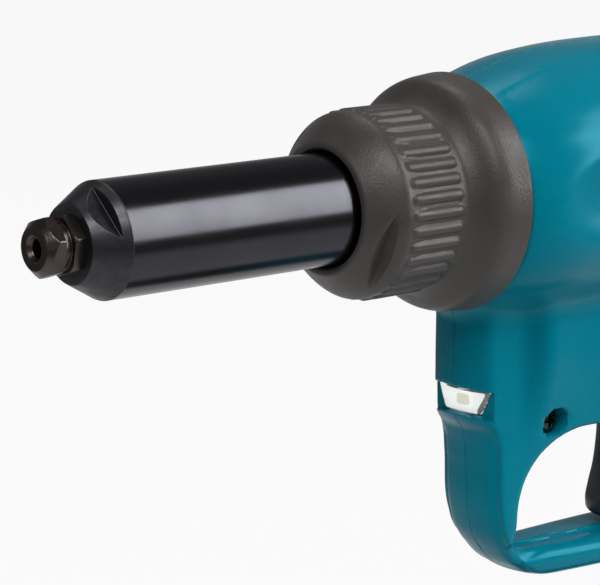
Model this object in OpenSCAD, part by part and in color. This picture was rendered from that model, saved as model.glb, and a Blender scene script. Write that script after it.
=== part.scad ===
// Battery rivet tool, drawn about the barrel axis with the housing front at x = 0
// and the nose towards -X. The placed() module stands it on the battery base.

/* [Barrel] */
// Outside diameter of the nose tube
tube_d = 28; // [26:0.5:30]
// Length of the nose tube from its cone edge to the housing front
tube_len = 110.7; // [100:0.1:130]
// Bore of the nose tube
tube_bore_d = 22; // [21.5:0.5:23]
// Length of the cone at the front of the nose tube
cone_len = 8; // [7:0.5:12]
// Diameter of the small end of the cone
cone_end_d = 18.8; // [17:0.2:21]
// Distance across the two spanner flats on the cone
cone_flats = 22.5; // [21:0.5:24]
// Distance across the flats of the nosepiece hexagon
nose_hex = 13; // [12:0.5:15]
// How far the nosepiece stands out of the cone
nose_reach = 10.8; // [9:0.2:16]
// Bore of the nosepiece, which takes the rivet's mandrel
nose_bore_d = 4.2; // [2.5:0.1:5]

/* [Lock collar] */
// Length of the collar from its mouth to the housing
collar_len = 43.4; // [40:0.2:50]
// Diameter of the collar's rear flange
flange_d = 61.6; // [58:0.2:62.4]
// Diameter of the collar's ribbed drum
drum_d = 47.4; // [46:0.2:50]
// Number of grip ribs round the drum
rib_count = 36; // [24:1:40]
// Length of a grip rib
rib_len = 16; // [12:0.5:17]
// Radius of a grip rib
rib_r = 1.15; // [0.8:0.05:1.4]

/* [Housing] */
// Length of the head from the collar to the container
head_len = 132; // [126:1:145]
// Greatest width of the head
head_w = 72; // [70:1:80]
// Height of the head above the barrel axis
head_top = 35.9; // [35:0.1:40]
// Depth of the head below the barrel axis
head_drop = 34; // [33:0.5:38]
// Width of the lower body at its top
body_w = 46; // [45:0.5:52]
// Distance from the housing front back to the front face of the strut
strut_setback = 7; // [6:0.5:9]
// Depth of the hand guard's lowest point below the barrel axis
guard_drop = 109; // [106:0.5:114]
// Wall thickness of the housing
wall = 2.8; // [2.4:0.1:3.2]

/* [Guard opening] */
// Front edge of the opening behind the housing front
open_front = 14.6; // [13.5:0.1:17]
// Top edge of the opening below the barrel axis
open_top = 66.5; // [65.5:0.5:69]
// Radius of the arc at the opening's front
open_arc = 20; // [16:0.5:22]
// Top of the lower bar at the opening's front, below the barrel axis
bar_drop = 97.5; // [95:0.5:99]
// Fall of the lower bar towards the handle
bar_slope = 3; // [0:0.5:4]

/* [Handle] */
// Where the handle's middle line leaves the head, behind the housing front
handle_x = 88; // [86:0.5:92]
// Depth below the barrel axis at which the handle starts
handle_top = 60; // [58:1:63]
// Depth below the barrel axis at which the handle ends
handle_end = 168; // [160:1:176]
// Front to back depth of the grip
handle_depth = 41; // [40:0.5:44]
// Width of the grip
handle_w = 34.4; // [33:0.2:38]
// Lean of the handle's middle line, in degrees
handle_lean = 8; // [6:0.5:10]

/* [Foot and battery] */
// Front of the foot behind the housing front
foot_x = 46; // [44:0.5:50]
// Length of the foot
foot_len = 104; // [100:1:112]
// Width of the foot
foot_w = 72; // [70:0.5:74]
// Height of the foot
foot_h = 25; // [24:0.5:28]
// How far the battery stands forward of the foot
battery_lead = 10; // [9:0.5:12]
// Length of the battery
battery_len = 116; // [114:1:122]
// Width of the battery
battery_w = 75; // [74:0.5:78]
// Height of the battery below the foot
battery_h = 60; // [58:0.5:66]
// Room between the ends of the battery cells and the case
cell_end_room = 2.8; // [2:0.1:4]

/* [Drive] */
// Distance of the motor axis below the barrel axis
motor_drop = 40; // [39.5:0.1:42]
// Outside diameter of the stator
stator_d = 36; // [34:0.5:36.5]
// Length of the stator
stator_len = 30; // [26:1:30]
// Outside diameter of the ball nut
nut_d = 32; // [30:0.5:33]
// Length of the ball nut
nut_len = 42; // [40:1:42]
// Diameter of the pull spindle
spindle_d = 16; // [15:0.5:17]
// Bore of the pull spindle, through which spent mandrels pass
spindle_bore_d = 7.2; // [6.8:0.2:8]
// Pulling stroke of the spindle
stroke = 30; // [20:1:30]

/* [Trigger and light] */
// Front of the trigger's lower tip behind the housing front
trigger_x = 52.9; // [51:0.1:55]
// Width of the trigger
trigger_w = 16; // [14:0.5:18]
// Travel of the trigger
trigger_travel = 6.5; // [4:0.5:6.5]
// Height of the work light lens
lens_h = 6.4; // [5.5:0.1:7.5]
// Middle of the lens below the barrel axis
lens_drop = 55.6; // [54:0.1:57]

/* [Mandrel container] */
// Outside diameter of the container
container_d = 54; // [52:0.5:56]
// Length of the container
container_len = 58; // [50:1:66]

/* [Fits] */
// Gap between a piece and the moulding that seats it
seat_gap = 0.3; // [0.2:0.05:0.4]
// Radial gap of a running fit
run_gap = 0.05; // [0.03:0.01:0.08]
// Gap between pieces that slide past each other
slide_gap = 0.4; // [0.3:0.05:0.5]

/* [Hidden] */

// Overrun of every cut past the face it leaves
over = 1;
// Thickness of the thin slices that a lofted form is drawn between
slice = 0.1;
// Points round a lofted section
section_points = 32;
// Smoothness of true round surfaces
round_fn = 96;
// Smoothness of round holes in the moulded halves
hole_fn = 16;

// Barrel stations, counted from the housing front
tube_r = tube_d / 2;
tube_bore_r = tube_bore_d / 2;
ridge_x = -tube_len;
cone_x = ridge_x - cone_len;
tip_x = cone_x - nose_reach;
tube_flange_t = 6;
tube_flange_lip = 3;
tube_flange_r = tube_r + tube_flange_lip;
flat_shoulder = 0.9;
nose_shank_r = 5;
nose_shank_len = 7;
nose_lead_r = 4.6;
nose_mouth_lead = 0.7;
nose_mouth_r = nose_bore_d / 2 + nose_mouth_lead;
nose_mouth_depth = 1.2;
nose_front_share = 0.51;
nose_groove_share = 0.13;
nose_groove_depth = 0.9;

// Collar stations
collar_gap = 0.4;
mouth_gap = 1.2;
mouth_r = tube_r + mouth_gap;
boss_len = 7;
boss_wall = 2.7;
boss_r = tube_flange_r + seat_gap + boss_wall;
collar_r = flange_d / 2;
drum_r = drum_d / 2;
rib_start = 10;
rib_sink = 0.2;
// Outline of the collar's nose, as shares of its run and rise, and of the flare behind the ribs
nose_shares = [[0, 0.3], [0.4, 0.64], [0.72, 0.9], [1, 1]];
flare_run_share = 0.62;
// Two spanner flats on the collar's nose: distance from the axis, length and direction
collar_flat_r = 18.8;
collar_flat_len = 5.6;
collar_flat_turn = 117.7;
flare_shares = [[0, 0], [0.15, 0.05], [0.4, 0.26], [0.62, 0.62], [0.8, 0.87], [1, 0.96]];

// Head sections: station, width, top, depth as shares of the head, then the squareness of the section
head_shares = [[0, 0.878, 0.88, 0.93, 2], [0.11, 0.93, 0.925, 0.95, 2.25], [0.26, 0.985, 0.98, 0.985, 2.6],
    [0.44, 1, 1, 1, 2.7], [0.76, 0.975, 0.95, 0.975, 2.6], [0.93, 0.875, 0.85, 0.87, 2.35],
    [1, 0.8, 0.785, 0.82, 2.1]];
// Lower body sections: depth, front setback and half width of the front spine, width, rear end, as shares of
// the guard depth, the body width and the head length
body_shares = [[0.14, -0.043, 0.43, 1, 0.86], [0.3, -0.043, 0.43, 0.98, 0.86],
    [0.42, -0.044, 0.43, 0.87, 0.86], [0.565, -0.036, 0.43, 0.7, 0.83], [0.61, -0.002, 0.42, 0.65, 0.8],
    [0.8, 0.006, 0.415, 0.565, 0.72], [0.89, 0.05, 0.4, 0.555, 0.67], [0.945, 0.11, 0.38, 0.53, 0.66],
    [0.98, 0.19, 0.34, 0.47, 0.65], [1, 0.31, 0.24, 0.34, 0.64]];
// Corner points of a lower body section, as shares of its half width and of the width past the spine
spine_flat_share = 0.45;
spine_bow = 2;
corner_share = 0.75;
corner_width_share = 0.93;
side_share = 1.7;
bulge_x_share = 0.42;
bulge_share = 1.1;
tail_share = 0.55;
// Handle sections: place along the handle, depth and width as shares
handle_shares = [[0, 1.08, 1.05], [0.2, 1, 1], [0.45, 0.93, 0.96], [0.75, 0.95, 0.98], [0.92, 1.05, 1.06],
    [1, 1.2, 1.15]];
handle_squareness = 2.4;
// Foot sections: height, length and width as shares
foot_shares = [[0, 0.46, 0.55], [0.28, 0.86, 0.9], [0.5, 0.97, 0.985], [1, 1, 1]];
foot_squareness = 5;

// Grip, let into the handle and standing slightly proud of it
grip_depth = 1.2;
grip_proud = 0.5;
grip_front = 8;
grip_top = 22;
grip_len = 76;

// Jaws and spindle
jaw_case_gap = 0.8;
jaw_case_r = tube_bore_r - jaw_case_gap;
jaw_case_wall = 2.2;
jaw_case_len = 44;
jaw_front_gap = 1.5;
jaw_len = 14;
jaw_gap = 0.6;
jaw_teeth_gap = 0.2;
jaw_teeth_r = nose_bore_d / 2 + jaw_teeth_gap;
jaw_cone_share = 0.62;
pusher_len = 12;
pusher_r = jaw_case_r - jaw_case_wall - seat_gap;
mandrel_gap = 0.7;
pusher_bore_r = nose_bore_d / 2 + mandrel_gap;
spring_wire = 1.2;
spring_turns = 6;
spring_rings = 8;
spring_sides = 6;
spindle_r = spindle_d / 2;
spindle_bore_r = spindle_bore_d / 2;
spindle_neck_len = 8;
jaw_case_x = ridge_x + jaw_front_gap;
jaw_rear_x = jaw_case_x + jaw_case_len;
spindle_x = jaw_rear_x - spindle_neck_len;
spring_room = 1;
spring_r = pusher_bore_r + spring_wire / 2 + spring_room;
jaw_floor = 2;
jaws_x = jaw_case_x + jaw_floor;
pusher_x = jaws_x + jaw_len + seat_gap;
spring_x0 = pusher_x + pusher_len + spring_wire / 2;
spring_x1 = spindle_x - spring_wire / 2;

// Rear end of the head, where the container plugs in and the spindle stops
socket_t = 6;
socket_x = head_len - socket_t;
spindle_end_gap = 1;
spindle_end = socket_x - stroke - spindle_end_gap;

// Drive stations along the barrel, counted back from the rear end
frame_flange_x = 4;
frame_flange_t = 4;
frame_flange_lip = 6;
frame_flange_r = boss_r + frame_flange_lip;
frame_wall = 4;
frame_tube_r = tube_bore_r + frame_wall;
tail_room = 16;
case_front_t = 7;
case_rear_t = 4;
case_end = socket_x - tail_room;
nut_end = case_end - case_rear_t;
nut_x = nut_end - nut_len;
case_x = nut_x - case_front_t;
nut_r = nut_d / 2;
bearing_w = 8;
bearing_ring = 5;
bearing_r = nut_r + bearing_ring;
gear_setback = 14;
gear_x = nut_x + gear_setback;
gear_w = 10;
nut_teeth = 48;
pinion_teeth = 32;
gear_module = 2 * motor_drop / (nut_teeth + pinion_teeth);
gear_backlash = 0.24;
// Height and depth of a gear tooth about its pitch line, as shares of the module
tip_share = 0.9;
root_share = 1.2;
case_gap = 1.3;
case_wall = 2.8;
case_cavity_r = gear_module * (nut_teeth / 2 + tip_share) + case_gap;
case_r = case_cavity_r + case_wall;
nut_bore_r = spindle_r + seat_gap;

// Planet stage on the motor axis
sun_teeth = 12;
planet_teeth = 18;
ring_teeth = 48;
// Pitch radius of the ring gear as a share of the distance between the axes
ring_share = 0.42;
planet_module = 2 * ring_share * motor_drop / ring_teeth;
planet_count = 3;
planet_backlash = 0.2;
planet_orbit = planet_module * (sun_teeth + planet_teeth) / 2;
ring_rim = 1.8;
ring_r = planet_module * ring_teeth / 2 + ring_rim;
lobe_wall = 1.6;
lobe_r = ring_r + lobe_wall;
ring_setback = 3.5;
ring_x = case_x + ring_setback;
ring_w = 10;
planet_w = 8.6;
planet_bore_r = 2;
carrier_gap = 0.5;
carrier_x = ring_x + ring_w + carrier_gap;
carrier_t = 2.2;
carrier_rim = 1.4;
carrier_r = planet_orbit + planet_bore_r + carrier_rim;
journal_r = 5;
journal_w = 3;
journal_gap = 1.4;
journal_bearing_r = 9;
journal_x = gear_x - journal_gap - journal_w;
journal_end = gear_x + gear_w + journal_gap + journal_w;
lobe_rear_t = 7;
lobe_end = gear_x + gear_w + lobe_rear_t;
pinion_gap = 1.9;
pinion_hole_r = gear_module * pinion_teeth / 2 + pinion_gap;

// Motor stations, counted forward from the gear case
shaft_r = 2.5;
motor_bearing_w = 4;
motor_bearing_r = 6.5;
bearing_proud = 1;
rear_bearing_x = case_x - bearing_proud;
fan_room = 5;
stator_x = case_x - fan_room - stator_len;
motor_front_room = 7;
motor_x = stator_x - motor_front_room;
stator_r = stator_d / 2;
stator_bore_r = 11.2;
rotor_gap = 0.5;
rotor_r = stator_bore_r - rotor_gap;
rotor_inset = 1;
rotor_len = stator_len - 2 * rotor_inset;
slot_count = 6;
slot_w = 5;
slot_depth = 3.6;
fan_gap = 0.6;
fan_x = stator_x + stator_len + fan_gap;
fan_t = 2.6;
fan_r = 15;
fan_hub_r = 5;
fan_blades = 9;
fan_blade_t = 0.9;
fan_web = 0.9;

// Trigger, switch and light
trigger_tip_drop = 92.5;
trigger_foot_drop = 98.4;
trigger_head_gap = 0.6;
trigger_head_drop = open_top + trigger_head_gap;
trigger_rise = 4.4;
// How far the trigger's face is set back at its foot and at its stem, as shares of its rise
trigger_foot_share = 0.7;
trigger_stem_share = 0.64;
trigger_depth = 14;
stem_r = 3;
stem_drop = 82;
trigger_back = trigger_x + trigger_rise + trigger_depth;
switch_gap = 0.7;
switch_x = trigger_back + trigger_travel + switch_gap;
switch_len = 20;
switch_h = 25;
switch_w = 18;
stem_lap = 6;
stem_end = switch_x + stem_lap;
lens_half = 10.2;
lens_foot_half = 6.8;
lens_t = 2.4;
lens_bow = 2;
// Half width of the lens's flat middle, as a share of its half width
lens_flat_share = 0.5;
lens_lead = 2.8;
lens_margin = 1.4;
lens_x = strut_setback - lens_lead;
board_t = 1.6;
board_gap = 0.3;

// Foot, rails and battery
foot_cover = 20;
foot_drop = handle_end + foot_cover;
foot_mid = foot_x + foot_len / 2;
tongue_half = 25;
tongue_h = 8;
groove_h = 2;
groove_depth = 3;
groove_rise = 2.4;
tongue_lead = 8;
tongue_x = foot_x + tongue_lead;
tongue_tail = 14;
tongue_end = foot_x + foot_len - tongue_tail;
battery_x = foot_x - battery_lead;
battery_split = 26;
battery_wall = 2.2;
battery_round = 9;
battery_inner_round = 6.8;
button_half = 14;
button_t = 6;
cell_columns = 5;
cell_side_room = 2.3;
cell_gap = 0.7;
cell_len = battery_w - 2 * battery_wall - 2 * cell_end_room;
cell_pitch = (battery_len - 2 * (battery_wall + button_t + cell_side_room)) / cell_columns;
cell_d = cell_pitch - cell_gap;
button_h = 17;
button_travel = 3;
button_drop = 1.5;
hook_half = 8;
hook_reach = 16;
hook_t = 2.4;
hook_tooth = 4;
hook_tooth_h = 3.2;
terminal_len = 40;
terminal_half = 17;
terminal_h = 5;
blade_t = 0.8;
blade_drop = 5;
blade_pitch = 10;
blade_places = [-blade_pitch, 0, blade_pitch];
board_len = 60;
board_w = 42;
controller_h = 5;
controller_drop = foot_drop - tongue_h - terminal_h - seat_gap;
controller_setback = 26;
controller_x = foot_x + controller_setback;
terminal_setback = 44;
terminal_x = foot_x + terminal_setback;

// Container
spigot_len = 9;
spigot_step = 2.6;
spigot_r = container_d / 2 - spigot_step;
spigot_wall = 2;
container_wall = 2.2;
container_x = head_len + seat_gap;
mandrel_tube_r = spindle_bore_r - slide_gap;
mandrel_tube_wall = 0.7;
mandrel_tube_bore_r = mandrel_tube_r - mandrel_tube_wall;
mandrel_tube_lap = 8;
mandrel_tube_lead = 4;
mandrel_tube_len = head_len + mandrel_tube_lead - spindle_end + mandrel_tube_lap;

// Housing screws: places as shares of the head length and of the foot depth, seats of half the foot width
screw_shares = [[0.19, 0.33, 0.3], [0.765, 0.28, 0.22], [0.35, -0.128, 0.22], [0.894, -0.096, 0.22],
    [0.894, 0.105, 0.22], [0.625, 0.585, 0.22], [0.44, 0.928, 0.22], [1.06, 0.928, 0.22]];
screw_r = 1.5;
screw_head_r = 3.1;
screw_head_h = 2.4;
screw_well_r = 3.6;
screw_tip = 6;
screw_slot = 0.9;
screw_slot_share = 0.7;
post_r = 5.2;

// Ribs inside the housing halves, as stations along the barrel
rib_t = 2.4;
flange_rib_gap = 1;
case_rib_setback = 12;
nut_rib_lead = 10;
rib_stations = [frame_flange_x + frame_flange_t + flange_rib_gap, motor_x + motor_bearing_w / 2,
    stator_x + stator_len / 2, case_x + case_rib_setback, nut_end - nut_rib_lead, socket_x + socket_t / 3];
rib_floor = 64;

// Placing
mid_x = (tip_x + container_x + container_len) / 2;
base_drop = foot_drop + battery_h;

// A superellipse outline of half sizes a and b
function superellipse(a, b, n) = [for (i = [0 : section_points - 1]) let (t = 360 * i / section_points)
    [a * sign(cos(t)) * pow(abs(cos(t)), 2 / n), b * sign(sin(t)) * pow(abs(sin(t)), 2 / n)]];

// Involute of the pressure angle at a radius, in degrees
function involute(base, r) = r <= base ? 0 : tan(acos(base / r)) * 180 / PI - acos(base / r);
// Half angle of a gear tooth at a radius
function tooth_half(teeth, pitch_r, r, play) = let (base = pitch_r * cos(20))
    90 / teeth - play / 2 / pitch_r * 180 / PI / 2 + involute(base, pitch_r) - involute(base, r);
// A point at a radius and an angle
function polar(r, a) = [r * cos(a), r * sin(a)];
// Outline of a spur gear whose first tooth lies at the angle phase
function gear_outline(teeth, pitch_r, tip_r, root_r, play, phase) = [for (i = [0 : teeth - 1])
    let (a = phase + 360 * i / teeth, h0 = tooth_half(teeth, pitch_r, root_r, play),
        h1 = tooth_half(teeth, pitch_r, pitch_r, play), h2 = tooth_half(teeth, pitch_r, tip_r, play))
    each [polar(root_r, a - h0), polar(pitch_r, a - h1), polar(tip_r, a - h2),
        polar(tip_r, a + h2), polar(pitch_r, a + h1), polar(root_r, a + h0)]];

module placed() translate([-mid_x, 0, base_drop]) children();
module along_x(x, drop = 0) translate([x, 0, -drop]) rotate([0, 90, 0]) children();
module turned(profile, drop = 0) along_x(0, drop) rotate_extrude($fn = round_fn) polygon(profile);
module rod(x, len, r, drop = 0) along_x(x, drop) cylinder(h = len, r = r, $fn = round_fn);
module ring(x, len, r, bore, drop = 0) turned([[bore, x], [r, x], [r, x + len], [bore, x + len]], drop);
module side_extrude(width) rotate([90, 0, 0]) linear_extrude(width, center = true) children();
module rounded_rect(len, width, r) union() {
    square([len - 2 * r, width], center = true);
    square([len, width - 2 * r], center = true);
    for (sx = [-1, 1], sy = [-1, 1])
        translate([sx * (len / 2 - r), sy * (width / 2 - r)]) circle(r, $fn = round_fn);
}
// Block from a lower front corner, centred across the tool
module block(x, drop, len, half, h) translate([x, -half, -drop]) cube([len, 2 * half, h]);

// Outer and inner forms of the housing, grown by g
module head_slice(s, g) {
    top = s[2] * head_top + g;
    drop = s[3] * head_drop + g;
    translate([s[0] * head_len, 0, (top - drop) / 2]) rotate([0, 90, 0])
        linear_extrude(slice) polygon(superellipse((top + drop) / 2, s[1] * head_w / 2 + g, s[4]));
}
module head_form(g) for (i = [0 : len(head_shares) - 2]) hull() {
    head_slice(head_shares[i], g);
    head_slice(head_shares[i + 1], g);
}
module body_slice(s, g) {
    half = s[3] * body_w / 2 + g;
    spine = s[2] * body_w / 2 + g;
    front = strut_setback + s[1] * guard_drop - g;
    edge = front + spine_bow;
    rear = s[4] * head_len + g;
    side = [[front, spine_flat_share * spine], [edge, spine],
        [edge + corner_share * (half - spine), corner_width_share * half],
        [edge + side_share * (half - spine), half], [bulge_x_share * head_len, bulge_share * half],
        [rear - half, bulge_share * half], [rear, tail_share * half]];
    translate([0, 0, -s[0] * guard_drop]) linear_extrude(slice)
        polygon(concat(side, [for (i = [len(side) - 1 : -1 : 0]) [side[i].x, -side[i].y]]));
}
module body_form(g) for (i = [0 : len(body_shares) - 2]) hull() {
    body_slice(body_shares[i], g);
    body_slice(body_shares[i + 1], g);
}
module guard_outline() intersection() {
    hull() {
        translate([open_front + open_arc, -open_top - open_arc]) circle(open_arc, $fn = section_points * 2);
        translate([handle_x - handle_depth / 4, -open_top - open_arc]) square([slice, open_arc]);
        translate([handle_x - handle_depth / 4, -guard_drop]) square([slice, open_arc]);
    }
    polygon([[0, -bar_drop], [handle_x, -bar_drop - bar_slope], [handle_x, 0], [0, 0]]);
}
module guard_opening(g) side_extrude(head_w)
    offset(r = -g) offset(r = wall) offset(delta = -wall) guard_outline();
function handle_mid(share) = handle_x + share * (handle_end - handle_top) * tan(handle_lean);
module handle_slice(s, g) translate([handle_mid(s[0]), 0, -handle_top - s[0] * (handle_end - handle_top)])
    linear_extrude(slice)
        polygon(superellipse(s[1] * handle_depth / 2 + g, s[2] * handle_w / 2 + g, handle_squareness));
module handle_form(g) for (i = [0 : len(handle_shares) - 2]) hull() {
    handle_slice(handle_shares[i], g);
    handle_slice(handle_shares[i + 1], g);
}
module foot_slice(s, g) translate([foot_mid, 0, -foot_drop + foot_h - s[0] * (foot_h + g)])
    linear_extrude(slice)
        polygon(superellipse(s[1] * foot_len / 2 + g, s[2] * foot_w / 2 + g, foot_squareness));
module foot_form(g) for (i = [0 : len(foot_shares) - 2]) hull() {
    foot_slice(foot_shares[i], g);
    foot_slice(foot_shares[i + 1], g);
}
module housing_form(g) union() {
    intersection() {
        head_form(g);
        translate([-g, -head_w, -head_w]) cube([head_len + 2 * g, 2 * head_w, 2 * head_w]);
    }
    difference() {
        body_form(g);
        guard_opening(g);
    }
    handle_form(g);
    foot_form(g);
}
module grip_zone() translate([handle_mid(0), 0, -handle_top]) rotate([0, -handle_lean, 0])
    translate([-grip_front, -handle_w, -grip_top - grip_len]) cube([handle_depth, 2 * handle_w, grip_len]);

// Ribs, posts and blocks that seat the inner pieces
function screw_seat(s) = s[2] * foot_w / 2;
module screw_place(s) translate([s[0] * head_len, 0, -s[1] * foot_drop]) rotate([90, 0, 0]) children();
module housing_ribs() {
    for (x = rib_stations) translate([x, -head_w, -rib_floor]) cube([rib_t, 2 * head_w, 2 * rib_floor]);
    for (s = screw_shares) screw_place(s) cylinder(h = foot_w, r = post_r, center = true, $fn = hole_fn);
    block(switch_x - rib_t, stem_drop + switch_h / 2 + rib_t, switch_len + 2 * rib_t, handle_w,
        switch_h + 2 * rib_t);
    block(lens_x, lens_drop + lens_h, lens_bow + lens_t + board_t + 2 * rib_t, lens_half + 2 * rib_t,
        2 * lens_h);
    block(foot_x, foot_drop, foot_len, foot_w, tongue_h + terminal_h + controller_h + rib_t);
}
module bore_pocket(x0, x1, r, drop = 0) along_x(x0, drop) cylinder(h = x1 - x0, r = r, $fn = hole_fn * 2);
module lens_pocket() {
    board_x = lens_x + lens_t + board_gap;
    lens_block(lens_lead, board_x - lens_x + lens_lead, lens_margin, seat_gap);
    block(board_x - seat_gap, lens_drop + lens_h / 2 + seat_gap, board_t + 2 * seat_gap,
        lens_half + seat_gap, lens_h + 2 * seat_gap);
}
module tongue_pocket() {
    block(foot_x - over, foot_drop + over, tongue_end + slide_gap - foot_x + over, tongue_half + slide_gap,
        tongue_h + slide_gap + over);
}
module foot_rails() for (s = [-1, 1])
    translate([tongue_x + slide_gap, s * (tongue_half + slide_gap) - (s > 0 ? groove_depth - slide_gap : 0),
        -foot_drop + groove_rise + slide_gap])
        cube([tongue_end - tongue_x - 2 * slide_gap, groove_depth - slide_gap, groove_h - 2 * slide_gap]);
module housing_pockets() {
    bore_pocket(-over, frame_flange_x, boss_r + seat_gap);
    bore_pocket(frame_flange_x - slice, frame_flange_x + frame_flange_t + slice, frame_flange_r + seat_gap);
    bore_pocket(frame_flange_x, case_x, frame_tube_r + seat_gap);
    bore_pocket(case_x - seat_gap, case_end + seat_gap, case_r + seat_gap);
    bore_pocket(case_x - seat_gap, lobe_end + seat_gap, lobe_r + seat_gap, motor_drop);
    block(case_x - seat_gap, motor_drop, lobe_end - case_x + 2 * seat_gap, lobe_r + seat_gap, motor_drop);
    bore_pocket(motor_x - seat_gap, motor_x + motor_bearing_w + seat_gap, motor_bearing_r + seat_gap,
        motor_drop);
    bore_pocket(motor_x - rib_t, case_x, shaft_r + slide_gap, motor_drop);
    bore_pocket(stator_x - seat_gap, stator_x + stator_len + seat_gap, stator_r + seat_gap, motor_drop);
    bore_pocket(stator_x + stator_len, case_x, fan_r + over, motor_drop);
    bore_pocket(case_end, socket_x, spindle_r + over);
    bore_pocket(socket_x - seat_gap, head_len + over, spigot_r + seat_gap);
    block(switch_x - seat_gap, stem_drop + switch_h / 2 + seat_gap, switch_len + 2 * seat_gap,
        switch_w / 2 + seat_gap, switch_h + 2 * seat_gap);
    block(trigger_x, trigger_foot_drop + slide_gap, switch_x - trigger_x, trigger_w / 2 + slide_gap,
        trigger_foot_drop - trigger_head_drop + 2 * slide_gap);
    lens_pocket();
    block(controller_x - seat_gap, controller_drop + seat_gap, board_len + 2 * seat_gap,
        board_w / 2 + seat_gap, controller_h + 2 * seat_gap);
    block(terminal_x - seat_gap, foot_drop, terminal_len + 2 * seat_gap, terminal_half + seat_gap,
        tongue_h + terminal_h + seat_gap);
    difference() {
        tongue_pocket();
        foot_rails();
    }
    block(foot_x - over, foot_drop + over, hook_reach, hook_half + slide_gap,
        hook_t + hook_tooth_h + slide_gap + over);
    for (s = screw_shares) screw_place(s) {
        translate([0, 0, screw_seat(s)]) cylinder(h = foot_w, r = screw_well_r, $fn = hole_fn);
        translate([0, 0, -screw_tip])
            cylinder(h = screw_seat(s) + screw_tip + over, r = screw_r, $fn = hole_fn);
    }
}
module housing_body() difference() {
    union() {
        difference() {
            housing_form(0);
            housing_form(-wall);
        }
        intersection() {
            housing_form(-wall / 2);
            housing_ribs();
        }
    }
    housing_pockets();
    intersection() {
        grip_zone();
        difference() {
            handle_form(grip_proud + over);
            handle_form(-grip_depth);
        }
    }
}
module housing_half(side) color("darkcyan") intersection() {
    housing_body();
    translate([-head_len, side > 0 ? 0 : -head_w, -foot_drop - head_w])
        cube([3 * head_len, head_w, foot_drop + 2 * head_w]);
}
module grip() color("dimgray") intersection() {
    grip_zone();
    difference() {
        handle_form(grip_proud);
        handle_form(-grip_depth);
    }
}
module housing_screws() color("black") for (s = screw_shares) screw_place(s) difference() {
    union() {
        translate([0, 0, screw_seat(s)]) cylinder(h = screw_head_h, r = screw_head_r, $fn = round_fn);
        translate([0, 0, -screw_tip])
            cylinder(h = screw_tip + screw_seat(s), r = screw_r - run_gap, $fn = round_fn);
    }
    for (a = [0, 90]) rotate(a) translate([0, 0, screw_seat(s) + screw_head_h])
        cube([2 * screw_head_r * screw_slot_share, screw_slot, screw_head_h], center = true);
}

// Barrel
module nose_tube() color("black") difference() {
    turned([[nose_shank_r + run_gap, cone_x], [cone_end_d / 2, cone_x], [tube_r, ridge_x],
        [tube_r, -tube_flange_t], [tube_flange_r, -tube_flange_t], [tube_flange_r, 0], [tube_bore_r, 0],
        [tube_bore_r, ridge_x], [nose_shank_r + run_gap, ridge_x]]);
    for (a = [45, 225]) rotate([a, 0, 0])
        translate([cone_x - over, -tube_r, cone_flats / 2])
            cube([cone_len + over - flat_shoulder, tube_d, tube_r]);
}
module nosepiece() color("black") {
    front_end = tip_x + nose_front_share * nose_reach;
    groove_end = front_end + nose_groove_share * nose_reach;
    hex_r = nose_hex / sqrt(3);
    difference() {
        union() {
            intersection() {
                along_x(tip_x) rotate(30) cylinder(h = nose_reach, r = hex_r, $fn = 6);
                turned([[0, tip_x], [nose_lead_r, tip_x], [hex_r, tip_x + hex_r - nose_lead_r],
                    [hex_r, front_end - nose_groove_depth], [nose_hex / 2 - nose_groove_depth, front_end],
                    [nose_hex / 2 - nose_groove_depth, groove_end], [hex_r, groove_end], [hex_r, cone_x],
                    [0, cone_x]]);
            }
            rod(cone_x - over, nose_shank_len + over, nose_shank_r);
        }
        rod(tip_x - over, nose_reach + nose_shank_len + 2 * over, nose_bore_d / 2);
        turned([[0, tip_x - over], [nose_mouth_r, tip_x - over], [nose_mouth_r, tip_x],
            [nose_bore_d / 2, tip_x + nose_mouth_depth], [0, tip_x + nose_mouth_depth]]);
    }
}
module lock_collar() color("dimgray") {
    front = -collar_len;
    rise = drum_r - mouth_r;
    flare = collar_r - drum_r;
    drum_x = front + rib_start;
    flare_x = drum_x + rib_len + rib_r;
    flare_run = -flare_x * flare_run_share;
    union() {
        difference() {
            turned(concat([[mouth_r, front]],
                [for (s = nose_shares) [mouth_r + s[1] * rise, front + s[0] * rib_start]],
                [for (s = flare_shares) [drum_r + s[1] * flare, flare_x + s[0] * flare_run]],
                [[collar_r, -collar_gap], [boss_r + seat_gap, -collar_gap],
                    [boss_r + seat_gap, -boss_len - seat_gap], [mouth_r, drum_x]]));
            for (a = [0, 180]) rotate([collar_flat_turn + a, 0, 0])
                translate([front - over, -drum_r, collar_flat_r])
                    cube([collar_flat_len + over, drum_d, drum_r]);
        }
        intersection() {
            along_x(drum_x) linear_extrude(rib_len) difference() {
                union() {
                    circle(drum_r - rib_sink, $fn = round_fn);
                    for (i = [0 : rib_count - 1]) rotate(360 * i / rib_count)
                        translate([drum_r - rib_sink, 0]) circle(rib_r, $fn = hole_fn);
                }
                circle(drum_r - rib_r, $fn = round_fn);
            }
            turned([[drum_r - 2 * rib_r, drum_x], [drum_r, drum_x], [drum_r + rib_r, drum_x + 2 * rib_r],
                [drum_r + rib_r, drum_x + rib_len - 2 * rib_r], [drum_r, drum_x + rib_len],
                [drum_r - 2 * rib_r, drum_x + rib_len]]);
        }
    }
}
module front_frame() color("silver") turned([[tube_flange_r + seat_gap, -boss_len], [boss_r, -boss_len],
    [boss_r, frame_flange_x], [frame_flange_r, frame_flange_x],
    [frame_flange_r, frame_flange_x + frame_flange_t], [frame_tube_r, frame_flange_x + frame_flange_t],
    [frame_tube_r, case_x], [tube_bore_r, case_x],
    [tube_bore_r, 0], [tube_flange_r + seat_gap, 0]]);

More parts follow.
